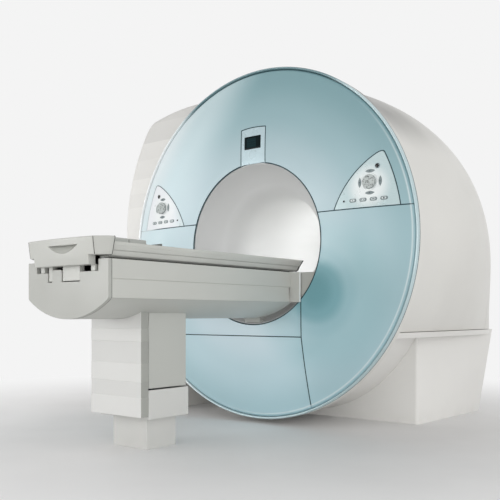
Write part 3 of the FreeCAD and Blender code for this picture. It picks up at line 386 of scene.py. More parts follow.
def panelSilver(name, low, high):
    # satin silver foil of the control panels, whiter in a soft field round the keys, and whiter
    # towards the left by painted light
    finish = Finish(name)
    sideways = finish.math("SUBTRACT", finish.math("ABSOLUTE", finish.axis("X")), keyField[0])
    glow = finish.ramp(finish.squares(sideways, finish.beyond("Z", keyField[1])), (0.0, 0.95),
                       (0.017, 0.0))
    lines = finish.noise(60.0, 4.0, (1.0, 1.0, 30.0))
    foil = finish.leftwards(finish.ramp(lines, (0.3, low), (0.7, high)), tone(240, 241, 245),
                            0.50, 0.70, 0.85)
    finish.bump(lines, 0.04, 0.0003)
    return finish.give(finish.mix(glow, foil, tone(238, 242, 242)), (11.0, 4.0, 0.26, 0.36),
                       Metallic=0.25, Coat_Weight=0.3, Coat_Roughness=0.12)


def screenGlass(name, low, high):
    # dark display behind glass: soft rows on the left, a thin upright rule on the right
    finish = Finish(name)
    dark, mid, light = tone(6, 20, 23), tone(17, 38, 42), tone(30, 55, 59)
    rows = finish.ramp(finish.between("Z", low[2], high[2]), (0.0, dark), (0.14, mid),
                       (0.28, light), (0.30, mid), (0.46, light), (0.48, mid), (0.64, light),
                       (0.66, mid), (0.84, mid), (0.86, dark), smooth=False)
    columns = finish.ramp(finish.between("X", low[0], high[0]), (0.0, 0.0), (0.13, 1.0),
                          (0.7, 0.0), (0.78, 0.35), (0.80, 0.0), smooth=False)
    return finish.give(finish.mix(columns, dark, rows), (30.0, 4.0, 0.05, 0.11),
                       Specular_IOR_Level=0.08)


def woundResin(name, colour):
    # coil former in cast resin, with winding bands along the tunnel
    finish = Finish(name)
    wave = finish.add("ShaderNodeTexWave", Vector=finish.place, Scale=14.0, Distortion=0.4)
    wave.bands_direction = "Y"
    bands = wave.outputs["Fac"]
    finish.bump(bands, 0.3, 0.002)
    return finish.give(finish.ramp(bands, (0.2, scaled(colour, 0.8)), (0.8, colour)),
                       (20.0, 4.0, 0.4, 0.6))


def sealRubber(name, colour, paintedLightFrom=None, paintedLightTo=None):
    # matt seal with a fine grain; painted light may wash it out on the left into the pale tone of
    # the covers there
    finish = Finish(name)
    fine = finish.noise(700.0, 3.0)
    body = finish.ramp(fine, (0.3, scaled(colour, 0.85)), (0.7, scaled(colour, 1.15)))
    if paintedLightTo:
        body = finish.leftwards(body, tone(214, 224, 226), paintedLightFrom, paintedLightTo, 0.85)
    finish.bump(fine, 0.1, 0.0003)
    return finish.give(body, (25.0, 3.0, 0.5, 0.65), Specular_IOR_Level=0.3)


screenLow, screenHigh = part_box("display_screen")
# each cover's bands of painted light and shade: heights of their lower edges, shares of the
# colour, and the whole range; on the side cover they darken upwards as painted shade
skirtEdges = (0.253, 0.326, 0.410, 0.511, 0.569)      # heights where the skirt's painted bands of light and shade change, and where it steps
skirtBands = (skirtEdges, (0.94, 1.0, 0.94, 1.0, 0.94), 0.16, 0.66)
sideBands = ((1.366, 1.462, 1.559, 1.682, 1.792, 1.916), (0.96, 0.99, 0.93, 0.90, 0.80, 0.76),
             highUp, 2.06)
finishes = {
    "cover_teal": ringPaintAndLight("coverTeal", tone(189, 212, 218), tone(175, 204, 210),
                            tone(158, 191, 197), 1.70),
    "panel_silver": panelSilver("panelSilver", tone(180, 201, 204), tone(196, 213, 215)),
    "bezel_silver": panelSilver("bezelSilver", tone(166, 187, 194), tone(180, 199, 205)),
    "key_grey": grainedPlastic("keyGrey", tone(128, 140, 142), 1400.0, 0.4, 0.0002),
    "key_face": grainedPlastic("keyFace", tone(212, 220, 221), 1400.0, 0.4, 0.0002),
    "key_mark": grainedPlastic("keyMark", tone(74, 86, 90), 900.0, 0.5, 0.0001),
    "dial_grey": dimpledGrip("dialGrey", tone(158, 164, 163)),
    "sensor_black": grainedPlastic("sensorBlack", tone(24, 26, 28), 600.0, 0.12, 0.0001),
    "screen": screenGlass("screenGlass", screenLow, screenHigh),
    "trim_silver": edgePaint("trimSilver", tone(186, 206, 210)),
    "ring_white": edgePaint("ringWhite", tone(236, 240, 240)),
    "seal": sealRubber("sealRubber", tone(44, 68, 74), 0.78, 0.88),
    "rim_seal": sealRubber("rimSeal", tone(44, 68, 74), 0.25, 0.80),
    "table_seal": sealRubber("tableSeal", tone(60, 60, 57)),
    "housing_white": paintedCover("housingWhite", tone(222, 221, 217), 0.42, 0.1, 0.025),
    # the housing's white with painted shade high up behind the ring
    "housing_shaded": paintedCover("housingPaintedShade", tone(222, 221, 217), 0.42, 0.1, 0.025,
                                   dusty=False, paintedShade=True),
    # a lighter copy of the housing's white, for the lower covers: painted light
    "lower_white": paintedCover("lowerLitWhite", tone(232, 231, 228), 0.42, 0.1, 0.025),
    "side_white": lightBandedCover("sideWhite", tone(231, 230, 227), *sideBands),
    "bore_white": paintedCover("boreWhite", tone(232, 231, 227), 0.36, 0.15, 0.015, dusty=False),
    "tunnel_white": tunnelPaint("tunnelWhite", tone(236, 237, 237)),
    "table_grey": paintedCover("tableGrey", tone(192, 193, 188), 0.4, 0.12, 0.025, dusty=False),
    # a darker copy of the table's grey, for the hull's end cap and the mouth's cheeks: painted
    # shade
    "cap_grey": paintedCover("capGrey", tone(174, 175, 170), 0.4, 0.12, 0.025, dusty=False),
    "top_grey": grainedPlastic("topGrey", tone(196, 197, 192), 500.0, 0.42),
    "pad_grey": grainedPlastic("padGrey", tone(176, 178, 174), 350.0, 0.55, 0.0006),
    "wedge_dark": grainedPlastic("wedgeDark", tone(104, 106, 102), 350.0, 0.6, 0.0006),
    "column_grey": paintedCover("columnGrey", tone(186, 187, 182), 0.45, 0.08, 0.02, dusty=False),
    "skirt_white": lightBandedCover("skirtWhite", tone(220, 220, 218), *skirtBands),
    # a darker copy of the skirt's finish for its side faces: painted shade
    "skirt_side": lightBandedCover("skirtShadedSide", tone(164, 165, 160), *skirtBands),
    "base_grey": paintedCover("baseGrey", tone(205, 205, 202), 0.5, 0.0, 0.03),
    "frame_alu": brushedMetal("frameAlu", tone(196, 198, 199), 0.38, 0.85, (60.0, 1.0, 60.0)),
    "steel": brushedMetal("liftSteel", tone(188, 190, 192), 0.22, 1.0, (60.0, 60.0, 1.0), 0.04),
    "coil_resin": woundResin("coilResin", tone(150, 140, 104)),
    "tank_steel": brushedMetal("tankSteel", tone(180, 182, 183), 0.34, 0.95, (1.0, 40.0, 1.0)),
    "base_steel": brushedMetal("baseSteel", tone(110, 114, 118), 0.5, 0.6, (1.0, 1.0, 1.0), 0.1),
}
ownFinish = {             # CAD pieces that don't take their slot's finish
    # the docking guide takes pad grey so that it shows in the grey of the shade there: painted
    # shade
    "docking_guide": "pad_grey", "upper_housing": "housing_shaded",
    "display_bezel": "bezel_silver", "right_lower_cover": "lower_white",
    "left_lower_cover": "lower_white",
}
for name, node in nodes.items():
    slotName = node.material_slots[0].material.name.split(".")[0]
    node.material_slots[0].material = finishes[ownFinish.get(name, slotName)]
print("finishes made:", len(finishes))


# surfaces
def stacked(*coordinates):
    # points of an outline, path or grid from their coordinates
    return np.stack(np.broadcast_arrays(*coordinates), -1)


def fullTurn(steps):
    # turns at even steps round a circle, without the last one, which is the first again
    return np.linspace(0, 2 * pi, steps, endpoint=False)


def unit(vectors):
    # each vector divided by its own length
    return vectors / np.linalg.norm(vectors, axis=-1, keepdims=True)


def halfChord(radius, away):
    # half the chord of a circle at a distance from its centre: sqrt(radius^2 - away^2)
    return np.sqrt(radius ** 2 - away ** 2)


def polar(radius, turn, centre=axis):
    # x and z at a radius and at a turn from straight up:
    # (centre x + radius * sin(turn), centre z + radius * cos(turn))
    return centre[0] + radius * np.sin(turn), centre[1] + radius * np.cos(turn)


def straight(start, end, steps=40):
    # points at even distances: start + share * (end - start)
    return np.linspace(start, end, steps)


def gridFaces(rows, columns, wrapped):
    # four neighbouring grid points to a face; each row closes on itself, and the last row of a
    # wrapped grid joins its first
    row, column = np.meshgrid(np.arange(rows - (not wrapped)), np.arange(columns), indexing="ij")
    nextRow, nextColumn = (row + 1) % rows, (column + 1) % columns
    corners = [row * columns + column, row * columns + nextColumn,
               nextRow * columns + nextColumn, nextRow * columns + column]
    return np.stack(corners, -1).reshape(-1, 4)


def clean(mesh):
    # points that coincide become one, and faces point outwards
    work = bmesh.new()
    work.from_mesh(mesh)
    bmesh.ops.remove_doubles(work, verts=work.verts, dist=2e-6)
    bmesh.ops.recalc_face_normals(work, faces=work.faces)
    work.to_mesh(mesh)
    work.free()


def buildPiece(name, grids, body, slotName, replaced=(), crease=38.0, finish=None):
    # grids are (points, kind) or (points, kind, finish): wrapped ones join their last row to their
    # first, capped ones get a face on both end rows, and open ones run out into points or an edge
    points, faces, marks, start, used = [], [], [], 0, [finish or slotName]
    for patch, kind, *own in grids:
        wanted = own[0] if own else used[0]
        if wanted not in used:
            used.append(wanted)
        rows, columns = patch.shape[:2]
        points.append(patch.reshape(-1, 3))
        found = (gridFaces(rows, columns, kind == "wrapped") + start).tolist()
        if kind == "capped":
            for first in (start, start + (rows - 1) * columns):
                found.append(list(range(first, first + columns)))
        faces += found
        marks += [used.index(wanted)] * len(found)
        start += rows * columns
    mesh = bpy.data.meshes.new(name)
    mesh.from_pydata(np.concatenate(points).tolist(), [], faces)
    for wanted in used:
        mesh.materials.append(finishes[wanted])
    mesh.polygons.foreach_set("material_index", marks)
    clean(mesh)
    mesh.shade_smooth()
    mesh.set_sharp_from_angle(angle=radians(crease))
    corners = np.zeros(len(mesh.polygons), int)
    mesh.polygons.foreach_get("loop_total", corners)
    mesh.polygons.foreach_set("use_smooth", corners <= 4)      # end faces stay flat
    piece = bpy.data.objects.new(name, mesh)
    bpy.context.scene.collection.objects.link(piece)
    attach(piece, body)
    if replaced:
        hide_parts(*replaced)
    return piece


def turnedGrid(profile, centre, steps):
    # (radius, y) profile carried round an axis along Y through centre (x, z)
    radius, y = np.asarray(profile, float).T[..., None]
    x, z = polar(radius, fullTurn(steps), centre)
    return stacked(x, y, z)


def bend(start, corner, end, t):
    # quadratic bend: (1-t)^2 start + 2t(1-t) corner + t^2 end
    return (1 - t) ** 2 * start + 2 * t * (1 - t) * np.asarray(corner) + t ** 2 * np.asarray(end)


def bentOver(start, corner, end, steps=10):
    # a bend between two ends, without the ends themselves
    return bend(start, corner, end, np.linspace(0, 1, steps)[1:-1, None])


def roundedOutline(corners, radii, steps=5):
    # each corner gives way to a bend that starts and ends its radius away, or near the middle of a
    # short side
    corners = np.asarray(corners, float)
    radii = np.broadcast_to(np.asarray(radii, float), len(corners))[:, None]
    ends = []
    for towards in (1, -1):
        edge = np.roll(corners, towards, 0) - corners
        length = np.linalg.norm(edge, axis=1)[:, None]
        ends.append((corners + edge / length * np.minimum(radii, 0.45 * length))[:, None])
    outline = bend(ends[0], corners[:, None], ends[1], np.linspace(0, 1, steps)[None, :, None])
    outline = outline.reshape(-1, 2)
    return outline[np.linalg.norm(outline - np.roll(outline, 1, 0), axis=1) > 1e-6]


def roundedAtEnds(points, radius):
    # radii for roundedOutline that bend only the two ends of a line of points
    return [radius] + [0.0] * (len(points) - 2) + [radius]


def insetOutline(outline, depth):
    # every point moves inwards by the depth, along the normal of its two neighbours' chord
    chord = np.roll(outline, -1, 0) - np.roll(outline, 1, 0)
    normal = unit(stacked(chord[:, 1], -chord[:, 0]))
    x, z = outline.T
    turning = np.sum(x * np.roll(z, -1) - np.roll(x, -1) * z)
    return outline - normal * np.sign(turning) * depth


def roundedEnds(front, rear, frontRound, rearRound, steps=5):
    # (y, inset) along a quarter circle at each end: inset = round * (1 - sin(turn)), and y comes
    # in from the end by round * (1 - cos(turn))
    turn = np.linspace(0, pi / 2, steps)
    inset, inwards = 1 - np.sin(turn), 1 - np.cos(turn)
    return [*zip(front + frontRound * inwards, frontRound * inset),
            *zip(rear - rearRound * inwards[::-1], rearRound * inset[::-1])]


def barGrid(outline, front, rear, frontRound, rearRound, lean=None):
    # (x, z) outline carried along Y from front to rear, with both ends rounded by those amounts;
    # lean moves the rear end by a function of height
    ends, rows = roundedEnds(front, rear, frontRound, rearRound), []
    for number, (y, inset) in enumerate(ends):
        x, z = (insetOutline(outline, inset) if inset > 1e-9 else outline).T
        atRear = number >= len(ends) // 2
        rows.append(stacked(x, y + lean(z) if lean and atRear else y, z))
    return np.array(rows), "capped"


def bothSides(outline, *ends):
    # a bar and its mirror image
    return [barGrid(outline * np.array([side, 1]), *ends) for side in (-1, 1)]


def mirrored(line, middle):
    # a closed outline: a line on the right, the points across, and the line's mirror image
    return [*line, *middle, *((-x, z) for x, z in reversed(line))]


def arcThrough(first, middle, last, steps):
    # points on the circle through three points, from the first to the last: the centre (ux, uz)
    # is as far from each of them, and point = centre + radius * (cos(angle), sin(angle))
    (ax, az), (bx, bz), (cx, cz) = first, middle, last
    d = 2 * (ax * (bz - cz) + bx * (cz - az) + cx * (az - bz))
    sa, sb, sc = ax ** 2 + az ** 2, bx ** 2 + bz ** 2, cx ** 2 + cz ** 2
    ux = (sa * (bz - cz) + sb * (cz - az) + sc * (az - bz)) / d
    uz = (sa * (cx - bx) + sb * (ax - cx) + sc * (bx - ax)) / d
    turns = [np.arctan2(z - uz, x - ux) for x, z in (first, middle, last)]
    sweep = (turns[2] - turns[0] + pi) % (2 * pi) - pi
    past = (turns[1] - turns[0]) % (2 * pi) if sweep > 0 else (turns[0] - turns[1]) % (2 * pi)
    if past > abs(sweep):
        sweep -= np.sign(sweep) * 2 * pi
    angle = turns[0] + sweep * np.linspace(0, 1, steps)
    radius = np.hypot(ax - ux, az - uz)
    return stacked(ux + radius * np.cos(angle), uz + radius * np.sin(angle))


def tubeGrid(path, radius, steps=8):
    # a round bead along a path: point = path + radius * (cos(turn) * sideways + sin(turn) * Y),
    # with sideways across the path in the plane of the ring's face
    ahead = np.roll(path, -1, 0) - np.roll(path, 1, 0)
    ahead[0], ahead[-1] = path[1] - path[0], path[-1] - path[-2]
    sideways = unit(stacked(-ahead[:, 2], 0.0, ahead[:, 0]))[:, None]
    turn = fullTurn(steps)[:, None]
    section = np.cos(turn) * sideways + np.sin(turn) * np.array([0.0, 1.0, 0.0])
    return path[:, None] + radius * section, "capped"


# ring: trim, seals and display
ring = {
    "openingRadius": 0.470, "profile": ((0.470, -0.792), (0.728, -0.783), (0.986, -0.750)),
    "trimInner": 1.0045, "trimOuter": 1.0195, "trimFront": -0.754, "trimRear": -0.688,
    "trimBead": 0.013, "trimGroove": -0.733,
    "seamReach": 0.9845, "seamHigh": 1.190, "seamLow": 0.510, "seamEnd": 0.136,
    "seamSide": 0.338, "seamSideFoot": 0.390, "sealRadius": 0.0034, "sealSunk": 0.0012,
    "mouthSeal": 0.4690, "mouthSealY": -0.7910, "mouthSealRadius": 0.0034, "mouthGap": 0.196,
    "panelSealRadius": 0.0029, "panelSealSunk": 0.0008,
    "displayHalf": 0.089, "displayTop": 1.723, "displayArch": 0.006, "displayFoot": 0.4735,
    "footReach": 0.473, "footRear": -0.7895, "footRound": 0.0004,
}


def domeFace(x, z):
    # depth of the ring's face over a point: y = centre - sqrt(radius^2 - (reach - offset)^2), on
    # the circle through the profile's three points
    first, middle, last = np.array(ring["profile"])
    chord = 2 * np.array([middle - first, last - first])
    square = np.array([middle @ middle, last @ last]) - first @ first
    offset, centre = np.linalg.solve(chord, square)
    radius = np.hypot(first[0] - offset, first[1] - centre)
    return centre - halfChord(radius, np.hypot(x, z - axisHeight) - offset)


def onFace(outline, sunk):
    # an outline laid on the ring's face and pushed behind it: y = domeFace(x, z) + sunk
    x, z = np.asarray(outline, float).T
    return stacked(x, domeFace(x, z) + sunk, z)


# the trim's bead is half an ellipse: radius = middle + half width * sin(turn), and
# y = front + bead * (1 - cos(turn))
inner, outer, groove = ring["trimInner"], ring["trimOuter"], ring["trimGroove"]
turn = np.linspace(-pi / 2, pi / 2, 17)
beadLine = stacked((inner + outer) / 2 + (outer - inner) / 2 * np.sin(turn),
                   ring["trimFront"] + ring["trimBead"] * (1 - np.cos(turn)))
lip, sealEdge = outer - 0.001, outer - 0.0008
trimProfiles = {
    "trim_silver": [*beadLine, (outer, groove - 0.0025), (lip, groove - 0.002),
                    (lip, groove + 0.002), (inner, groove + 0.002)],
    "rim_seal": [(inner, groove), (sealEdge, groove), (sealEdge, groove + 0.005),
                 (inner, groove + 0.005)],
    # the trim's return behind the bead takes the housing's painted shade
    "housing_shaded": [(inner, groove + 0.004), (outer - 0.0035, groove + 0.004),
                       (outer - 0.0016, groove + 0.0046), (lip, groove + 0.0065),
                       (lip, ring["trimRear"]), (inner, ring["trimRear"])],
}
buildPiece("ringTrim", [(turnedGrid(profile, axis, 288), "wrapped", finishName)
                        for finishName, profile in trimProfiles.items()],
           "scanner", "trim_silver", ["ring_edge_trim"])

# dark bead on the edge of the ring's mouth, open where the bezel's foot crosses it
turn = np.linspace(ring["mouthGap"], 2 * pi - ring["mouthGap"], 240)
x, z = polar(ring["mouthSeal"], turn)
mouthPath = stacked(x, ring["mouthSealY"], z)
buildPiece("mouthSeal", [tubeGrid(mouthPath, ring["mouthSealRadius"], 12)], "scanner",
           "cover_teal", finish="seal")

# seams between the ring's covers
high, low, side = ring["seamHigh"], ring["seamLow"], ring["seamSide"]
mouthHigh = halfChord(ring["openingRadius"], high - axisHeight)
mouthSide = axisHeight - halfChord(ring["openingRadius"], side)
reachHigh = halfChord(ring["seamReach"], high - axisHeight)
reachLow = halfChord(ring["seamReach"], axisHeight - low)
slope = (ring["seamSideFoot"] - side) / low
seams = [
    straight((-reachHigh, high), (-mouthHigh, high)),
    straight((mouthHigh, high), (reachHigh, high)),
    straight((-reachLow, low), (side, low)),
    np.concatenate([straight((side, mouthSide), (side, low)),
                    straight((side, low), (side + (low - ring["seamEnd"]) * slope,
                                           ring["seamEnd"]))[1:]]),
]
buildPiece("coverSeals", [tubeGrid(onFace(seam, ring["sealSunk"]), ring["sealRadius"])
                          for seam in seams], "scanner", "cover_teal", finish="seal")

# seals round the display and the two sail-shaped control panels, whose edges are two arcs from
# the foot line that meet in a rounded tip
sail = {
    "inner": ((0.551, 1.190), (0.652, 1.356), (0.826, 1.487)), "tip": (0.829, 1.4875),
    "outerRadius": 0.937, "outerFrom": (0.826, 0.442), "outerTo": (0.925, 0.145),
}
half, high = ring["displayHalf"], ring["displayTop"] - ring["displayArch"]
foot = axisHeight + halfChord(ring["displayFoot"], half)
displayPath = np.concatenate([
    straight((-half, foot), (-half, high), 30),
    arcThrough((-half, high), (0.0, ring["displayTop"]), (half, high), 24)[1:],
    straight((half, high), (half, foot), 30)[1:],
])
innerArc = arcThrough(*sail["inner"], 60)[:-6]
turn = np.linspace(np.arctan2(*sail["outerFrom"]), np.arctan2(*sail["outerTo"]), 60)[4:]
outerArc = stacked(*polar(sail["outerRadius"], turn))
sailPath = np.concatenate([innerArc, bentOver(innerArc[-1], sail["tip"], outerArc[0], 12),
                           outerArc])
buildPiece("panelSeals", [tubeGrid(onFace(path, ring["panelSealSunk"]), ring["panelSealRadius"])
                          for path in (displayPath, sailPath * np.array([-1, 1]), sailPath)],
           "scanner", "cover_teal", finish="seal")

# the bezel's foot runs straight across the mouth: a segment between chord and arc
swing = np.arcsin(half / ring["footReach"]) * np.linspace(-1, 1, 25)
footArc = stacked(*polar(ring["footReach"], swing))
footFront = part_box("display_bezel")[0].y + ring["footRound"]
buildPiece("bezelFoot", [barGrid(footArc, footFront, ring["footRear"], ring["footRound"], 0.0002)],
           "scanner", "panel_silver", finish="bezel_silver")


def fan(edge, centre, shares):
    # x and z of an outline repeated at shares of its size: centre + share * edge
    return np.moveaxis(np.asarray(centre) + shares[:, None, None] * edge, -1, 0)


# display glass: a slightly crowned superellipse, x = half width * sign(cos) * |cos|^(2 /
# squareness), and z the same with half the height and sin
pane = {
    "squareness": 14, "shares": np.array([0.0, 0.4, 0.8, 0.97, 1.0, 1.0, 0.0]),
    "depths": np.array([0.0, 0.0001, 0.0003, 0.0005, 0.0009, 0.003, 0.003]),
}
turn = fullTurn(96)
ways = stacked(np.cos(turn), np.sin(turn))
size = np.array([screenHigh.x - screenLow.x, screenHigh.z - screenLow.z]) / 2
centre = np.array([screenHigh.x + screenLow.x, screenHigh.z + screenLow.z]) / 2
x, z = fan(size * np.sign(ways) * np.abs(ways) ** (2 / pane["squareness"]), centre,
           pane["shares"])
glass = stacked(x, screenLow.y + pane["depths"][:, None], z)
buildPiece("displayGlass", [(glass, "open")], "scanner", "screen", ["display_screen"])
print("ring pieces made")

# control panels: keys, dials, sensors
panel = {
    "dialCentre": (0.759, 1.322), "dialRadius": 0.038, "dialHeight": 0.013, "notches": 20,
    "notchDepth": 0.0026, "shaftRadius": 0.008, "pointerRadius": 0.0028, "pointerUp": 0.0245,
    "lensOffset": 0.057, "lensLength": 0.052, "lensWidth": 0.017,
    "ovalX": (0.664, 0.722, 0.780, 0.838), "ovalZ": 1.232, "ovalLength": 0.040, "ovalWidth": 0.018,
    "inlayLength": 0.024, "inlayWidth": 0.0105, "inlayRise": 0.0002, "inlayMarkRise": 0.0004,
    "proud": 0.0025, "edgeProud": 0.0014, "capDepth": 0.0135, "markThick": 0.0012,
    "sensor": (0.798, 1.402), "sensorRadius": 0.014, "lamp": (0.612, 1.232), "lampRadius": 0.006,
    "windowShare": 0.86, "windowRise": 0.0022, "windowCrown": 0.12, "windowDeep": 0.008,
    "collarShare": 0.91, "collarWide": 0.08, "collarHigh": 0.09, "collarRise": 0.0012,
    "ringRadius": 0.0425, "ringThick": 0.0026, "ringHigh": 0.7,
}


def lensEdge(length, width):
    # two arcs that meet in points, as a closed outline round the origin
    over = arcThrough((-length / 2, 0), (0, width / 2), (length / 2, 0), 32)
    return np.concatenate([over, -over[1:-1]])


def ovalEdge(length, width, steps):
    # a circle drawn apart: x = width / 2 * cos(turn) +- (length - width) / 2
    turn = fullTurn(steps)
    x, z = width / 2 * np.cos(turn), width / 2 * np.sin(turn)
    return stacked(x + np.sign(np.cos(turn)) * (length - width) / 2, z)


def ringEdge(radius, steps=20):
    # a circle: (radius * cos(turn), radius * sin(turn))
    turn = fullTurn(steps)
    return stacked(radius * np.cos(turn), radius * np.sin(turn))


def arrowEdge(heading):
    # a rounded triangle, turned: (x * cos - z * sin, x * sin + z * cos)
    outline = roundedOutline([(-0.0055, -0.0025), (0.0055, -0.0025), (0.0, 0.0035)], 0.001, 4)
    sine, cosine = np.sin(heading), np.cos(heading)
    return outline @ np.array([[cosine, sine], [-sine, cosine]])


def raisedGrid(edge, centre, side, shares, rises, *finishName):
    # a fan over an outline on the ring's face, each of its rows raised by its own amount
    x, z = fan(edge, centre, np.array(shares))
    x = side * x
    return (stacked(x, domeFace(x, z) - np.array(rises)[:, None], z), "open", *finishName)


def keyGrid(edge, centre, side):
    # cap: its height falls as the square of the share of the way out, then come a rounded edge and
    # a straight side
    rim = panel["edgeProud"]
    shares = np.array([0.0, 0.3, 0.55, 0.75, 0.9, 0.97])
    rises = rim + (panel["proud"] - rim) * (1 - shares ** 2)
    return raisedGrid(edge, centre, side, [*shares, 1.0, 1.0, 0.5, 0.0],
                      [*rises, rim * 0.5] + [-panel["capDepth"]] * 3)


def markGrid(edge, centre, side, rise, finishName="key_mark"):
    # a thin raised mark or inlay on a key
    rise += panel["proud"]
    under = rise - panel["markThick"]
    return raisedGrid(edge, centre, side, [0.0, 1.0, 1.0, 0.0], [rise, rise, under, under],
                      finishName)


cx, cz = panel["dialCentre"]
offset, ovalZ = panel["lensOffset"], panel["ovalZ"]
flat = lensEdge(panel["lensLength"], panel["lensWidth"])
upright = flat[:, ::-1] * np.array([1, -1])
lensKeys = {
    "up_key": (flat, (cx, cz + offset), 0.0),
    "down_key": (flat, (cx, cz - offset), pi),
    "in_key": (upright, (cx + offset, cz), -pi / 2),
    "out_key": (upright, (cx - offset, cz), pi / 2),
}
oval = ovalEdge(panel["ovalLength"], panel["ovalWidth"], 64)
inlay = ovalEdge(panel["inlayLength"], panel["inlayWidth"], 40)
dot = ringEdge(0.0026)
ovalMarks = (                     # each key's marks, with their places beside its middle
    [(dot, 0.0)], [(dot, -0.006), (dot, 0.006)], [(ovalEdge(0.016, 0.004, 24), 0.0)],
    [(ringEdge(0.0046), 0.0)],
)
for sideName, side in sides:
    for name, (edge, centre, heading) in lensKeys.items():
        grids = [keyGrid(edge, centre, side), markGrid(arrowEdge(heading), centre, side, 0.0)]
        buildPiece(f"{sideName}_{name}_cap", grids, f"{sideName}_{name}_body", "key_grey",
                   [f"{sideName}_{name}"])
    for number, (keyX, marks) in enumerate(zip(panel["ovalX"], ovalMarks), 1):
        name = f"{sideName}_oval_key_{number}"
        grids = [keyGrid(oval, (keyX, ovalZ), side),
                 markGrid(inlay, (keyX, ovalZ), side, panel["inlayRise"], "key_face")]
        for mark, shift in marks:
            grids.append(markGrid(mark, (keyX + shift, ovalZ), side, panel["inlayMarkRise"]))
        buildPiece(f"{name}_cap", grids, f"{name}_body", "key_grey", [name])


def dialGrid(centreX, front, rear):
    # turned knob: a dished face, a rounded rim whose radius drops at each notch, and a shaft;
    # radius(turn) = radius - depth * max(0, cos(notches * turn)) ^ 3 on the rim rows
    r, h, shaft = panel["dialRadius"], panel["dialHeight"], panel["shaftRadius"]
    profile = np.array([          # radius, depth behind the front, share of the notch
        (0.0, 0.0040, 0), (r * 0.25, 0.0038, 0), (r * 0.5, 0.0031, 0), (r * 0.68, 0.0020, 0),
        (r * 0.80, 0.0006, 0), (r * 0.86, 0.0, 0.3), (r * 0.93, 0.0003, 0.8),
        (r * 0.975, 0.0012, 1), (r, 0.0032, 1), (r, h * 0.5, 1), (r, h - 0.0012, 1),
        (r * 0.985, h, 1), (shaft, h, 0), (shaft, rear - front, 0), (0.0, rear - front, 0)])
    turn = fullTurn(panel["notches"] * 12)
    dent = panel["notchDepth"] * np.maximum(0, np.cos(panel["notches"] * turn)) ** 3
    radius = profile[:, :1] - profile[:, 2:] * dent
    x, z = polar(radius, turn, (centreX, cz))
    return stacked(x, front + profile[:, 1:2], z)


for sideName, side in sides:
    front, rear = [corner.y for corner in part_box(f"{sideName}_dial")]
    # a small raised pointer lies in the dish, near the rim
    x, z = fan(ringEdge(panel["pointerRadius"], 16), (side * cx, cz + panel["pointerUp"]),
               np.array([0.0, 0.8, 1.0, 1.0, 0.0]))
    sunk = np.array([0.0012, 0.0013, 0.0018, 0.0035, 0.0035])[:, None]
    buildPiece(f"{sideName}_dial_knob", [(dialGrid(side * cx, front, rear), "open"),
                                         (stacked(x, front + sunk, z), "open", "key_mark")],
               f"{sideName}_dial_body", "dial_grey", [f"{sideName}_dial"])


def studGrids(spot, radius, side):
    # domed window in a rounded collar: height = rise + radius * crown * (1 - share^2)
    x, z = side * spot[0], spot[1]
    face = float(domeFace(x, z))
    edge = panel["windowShare"]
    shares = np.linspace(0, edge, 8)
    rise = panel["windowRise"] + radius * panel["windowCrown"] * (1 - (shares / edge) ** 2)
    behind = face + panel["windowDeep"]
    window = [*zip(radius * shares, face - rise), (radius * edge, behind), (0.0, behind)]
    turn = fullTurn(12)
    collar = stacked(radius * (panel["collarShare"] + panel["collarWide"] * np.cos(turn)),
                     face - panel["collarRise"] + radius * panel["collarHigh"] * np.sin(turn))
    return (turnedGrid(window, (x, z), 40), "open"), (turnedGrid(collar, (x, z), 40), "wrapped")


studs = [studGrids(panel[name], panel[name + "Radius"], side)
         for side in (-1, 1) for name in ("sensor", "lamp")]
windows, collars = zip(*studs)
buildPiece("sensorWindows", windows, "scanner", "sensor_black", ["panel_sensors"])
buildPiece("sensorCollars", collars, "scanner", "trim_silver")

# light half-round ring at the foot of each dial
section, turn = fullTurn(10)[:, None], fullTurn(120)
reach = panel["ringRadius"] + panel["ringThick"] * np.cos(section)
dialRings = []
for side in (-1, 1):
    x, z = polar(reach, turn, (side * cx, cz))
    y = domeFace(x, z) - panel["ringThick"] * panel["ringHigh"] * np.sin(section)
    dialRings.append((stacked(x, y, z), "wrapped"))
buildPiece("dialRings", dialRings, "scanner", "trim_silver", finish="ring_white")
print("panel pieces made")

# tunnel: the mouth's arc bends over into the straight liner, except behind the deck
tunnel = {
    "mouth": (0.4610, -0.787), "mid": (0.398, -0.658), "throat": (0.300, -0.550),
    "bendEnd": (0.300, -0.410), "rear": (0.300, 0.480), "skin": 0.0062,
    "kept": 17,                   # rows of the flare before the bend sets in
}
flare = arcThrough(tunnel["mouth"], tunnel["mid"], tunnel["throat"], 28)
sharp = np.concatenate([flare[tunnel["kept"]:],
                        straight(tunnel["throat"], tunnel["bendEnd"], 14)[1:]])
along = np.concatenate([[0.0], np.cumsum(np.linalg.norm(np.diff(sharp, axis=0), axis=1))])
soft = bend(sharp[0], tunnel["throat"], sharp[-1], (along / along[-1])[:, None])
walls = []
for middlePart in (sharp, soft):
    line = np.concatenate([flare[:tunnel["kept"]], middlePart,
                           straight(tunnel["bendEnd"], tunnel["rear"], 12)[1:]])
    ahead = np.gradient(line, axis=0)
    outwards = unit(stacked(ahead[:, 1], -ahead[:, 0]))
    walls.append(np.concatenate([line, (line + tunnel["skin"] * outwards)[::-1]])[:, None])
# wall = sharp * (1 - overhead) + soft * overhead, where overhead is 1 down to cos(turn) = -0.1
# and 0 from cos(turn) = -0.6, behind the deck
turn = fullTurn(192)
overhead = np.clip((np.cos(turn) + 0.6) / 0.5, 0, 1)[None, :, None]
radius, y = np.moveaxis(walls[0] * (1 - overhead) + walls[1] * overhead, -1, 0)
x, z = polar(radius, turn)
buildPiece("tunnelSkin", [(stacked(x, y, z), "wrapped")], "scanner", "bore_white",
           ["front_funnel", "tunnel_liner"], finish="tunnel_white")
print("tunnel made")

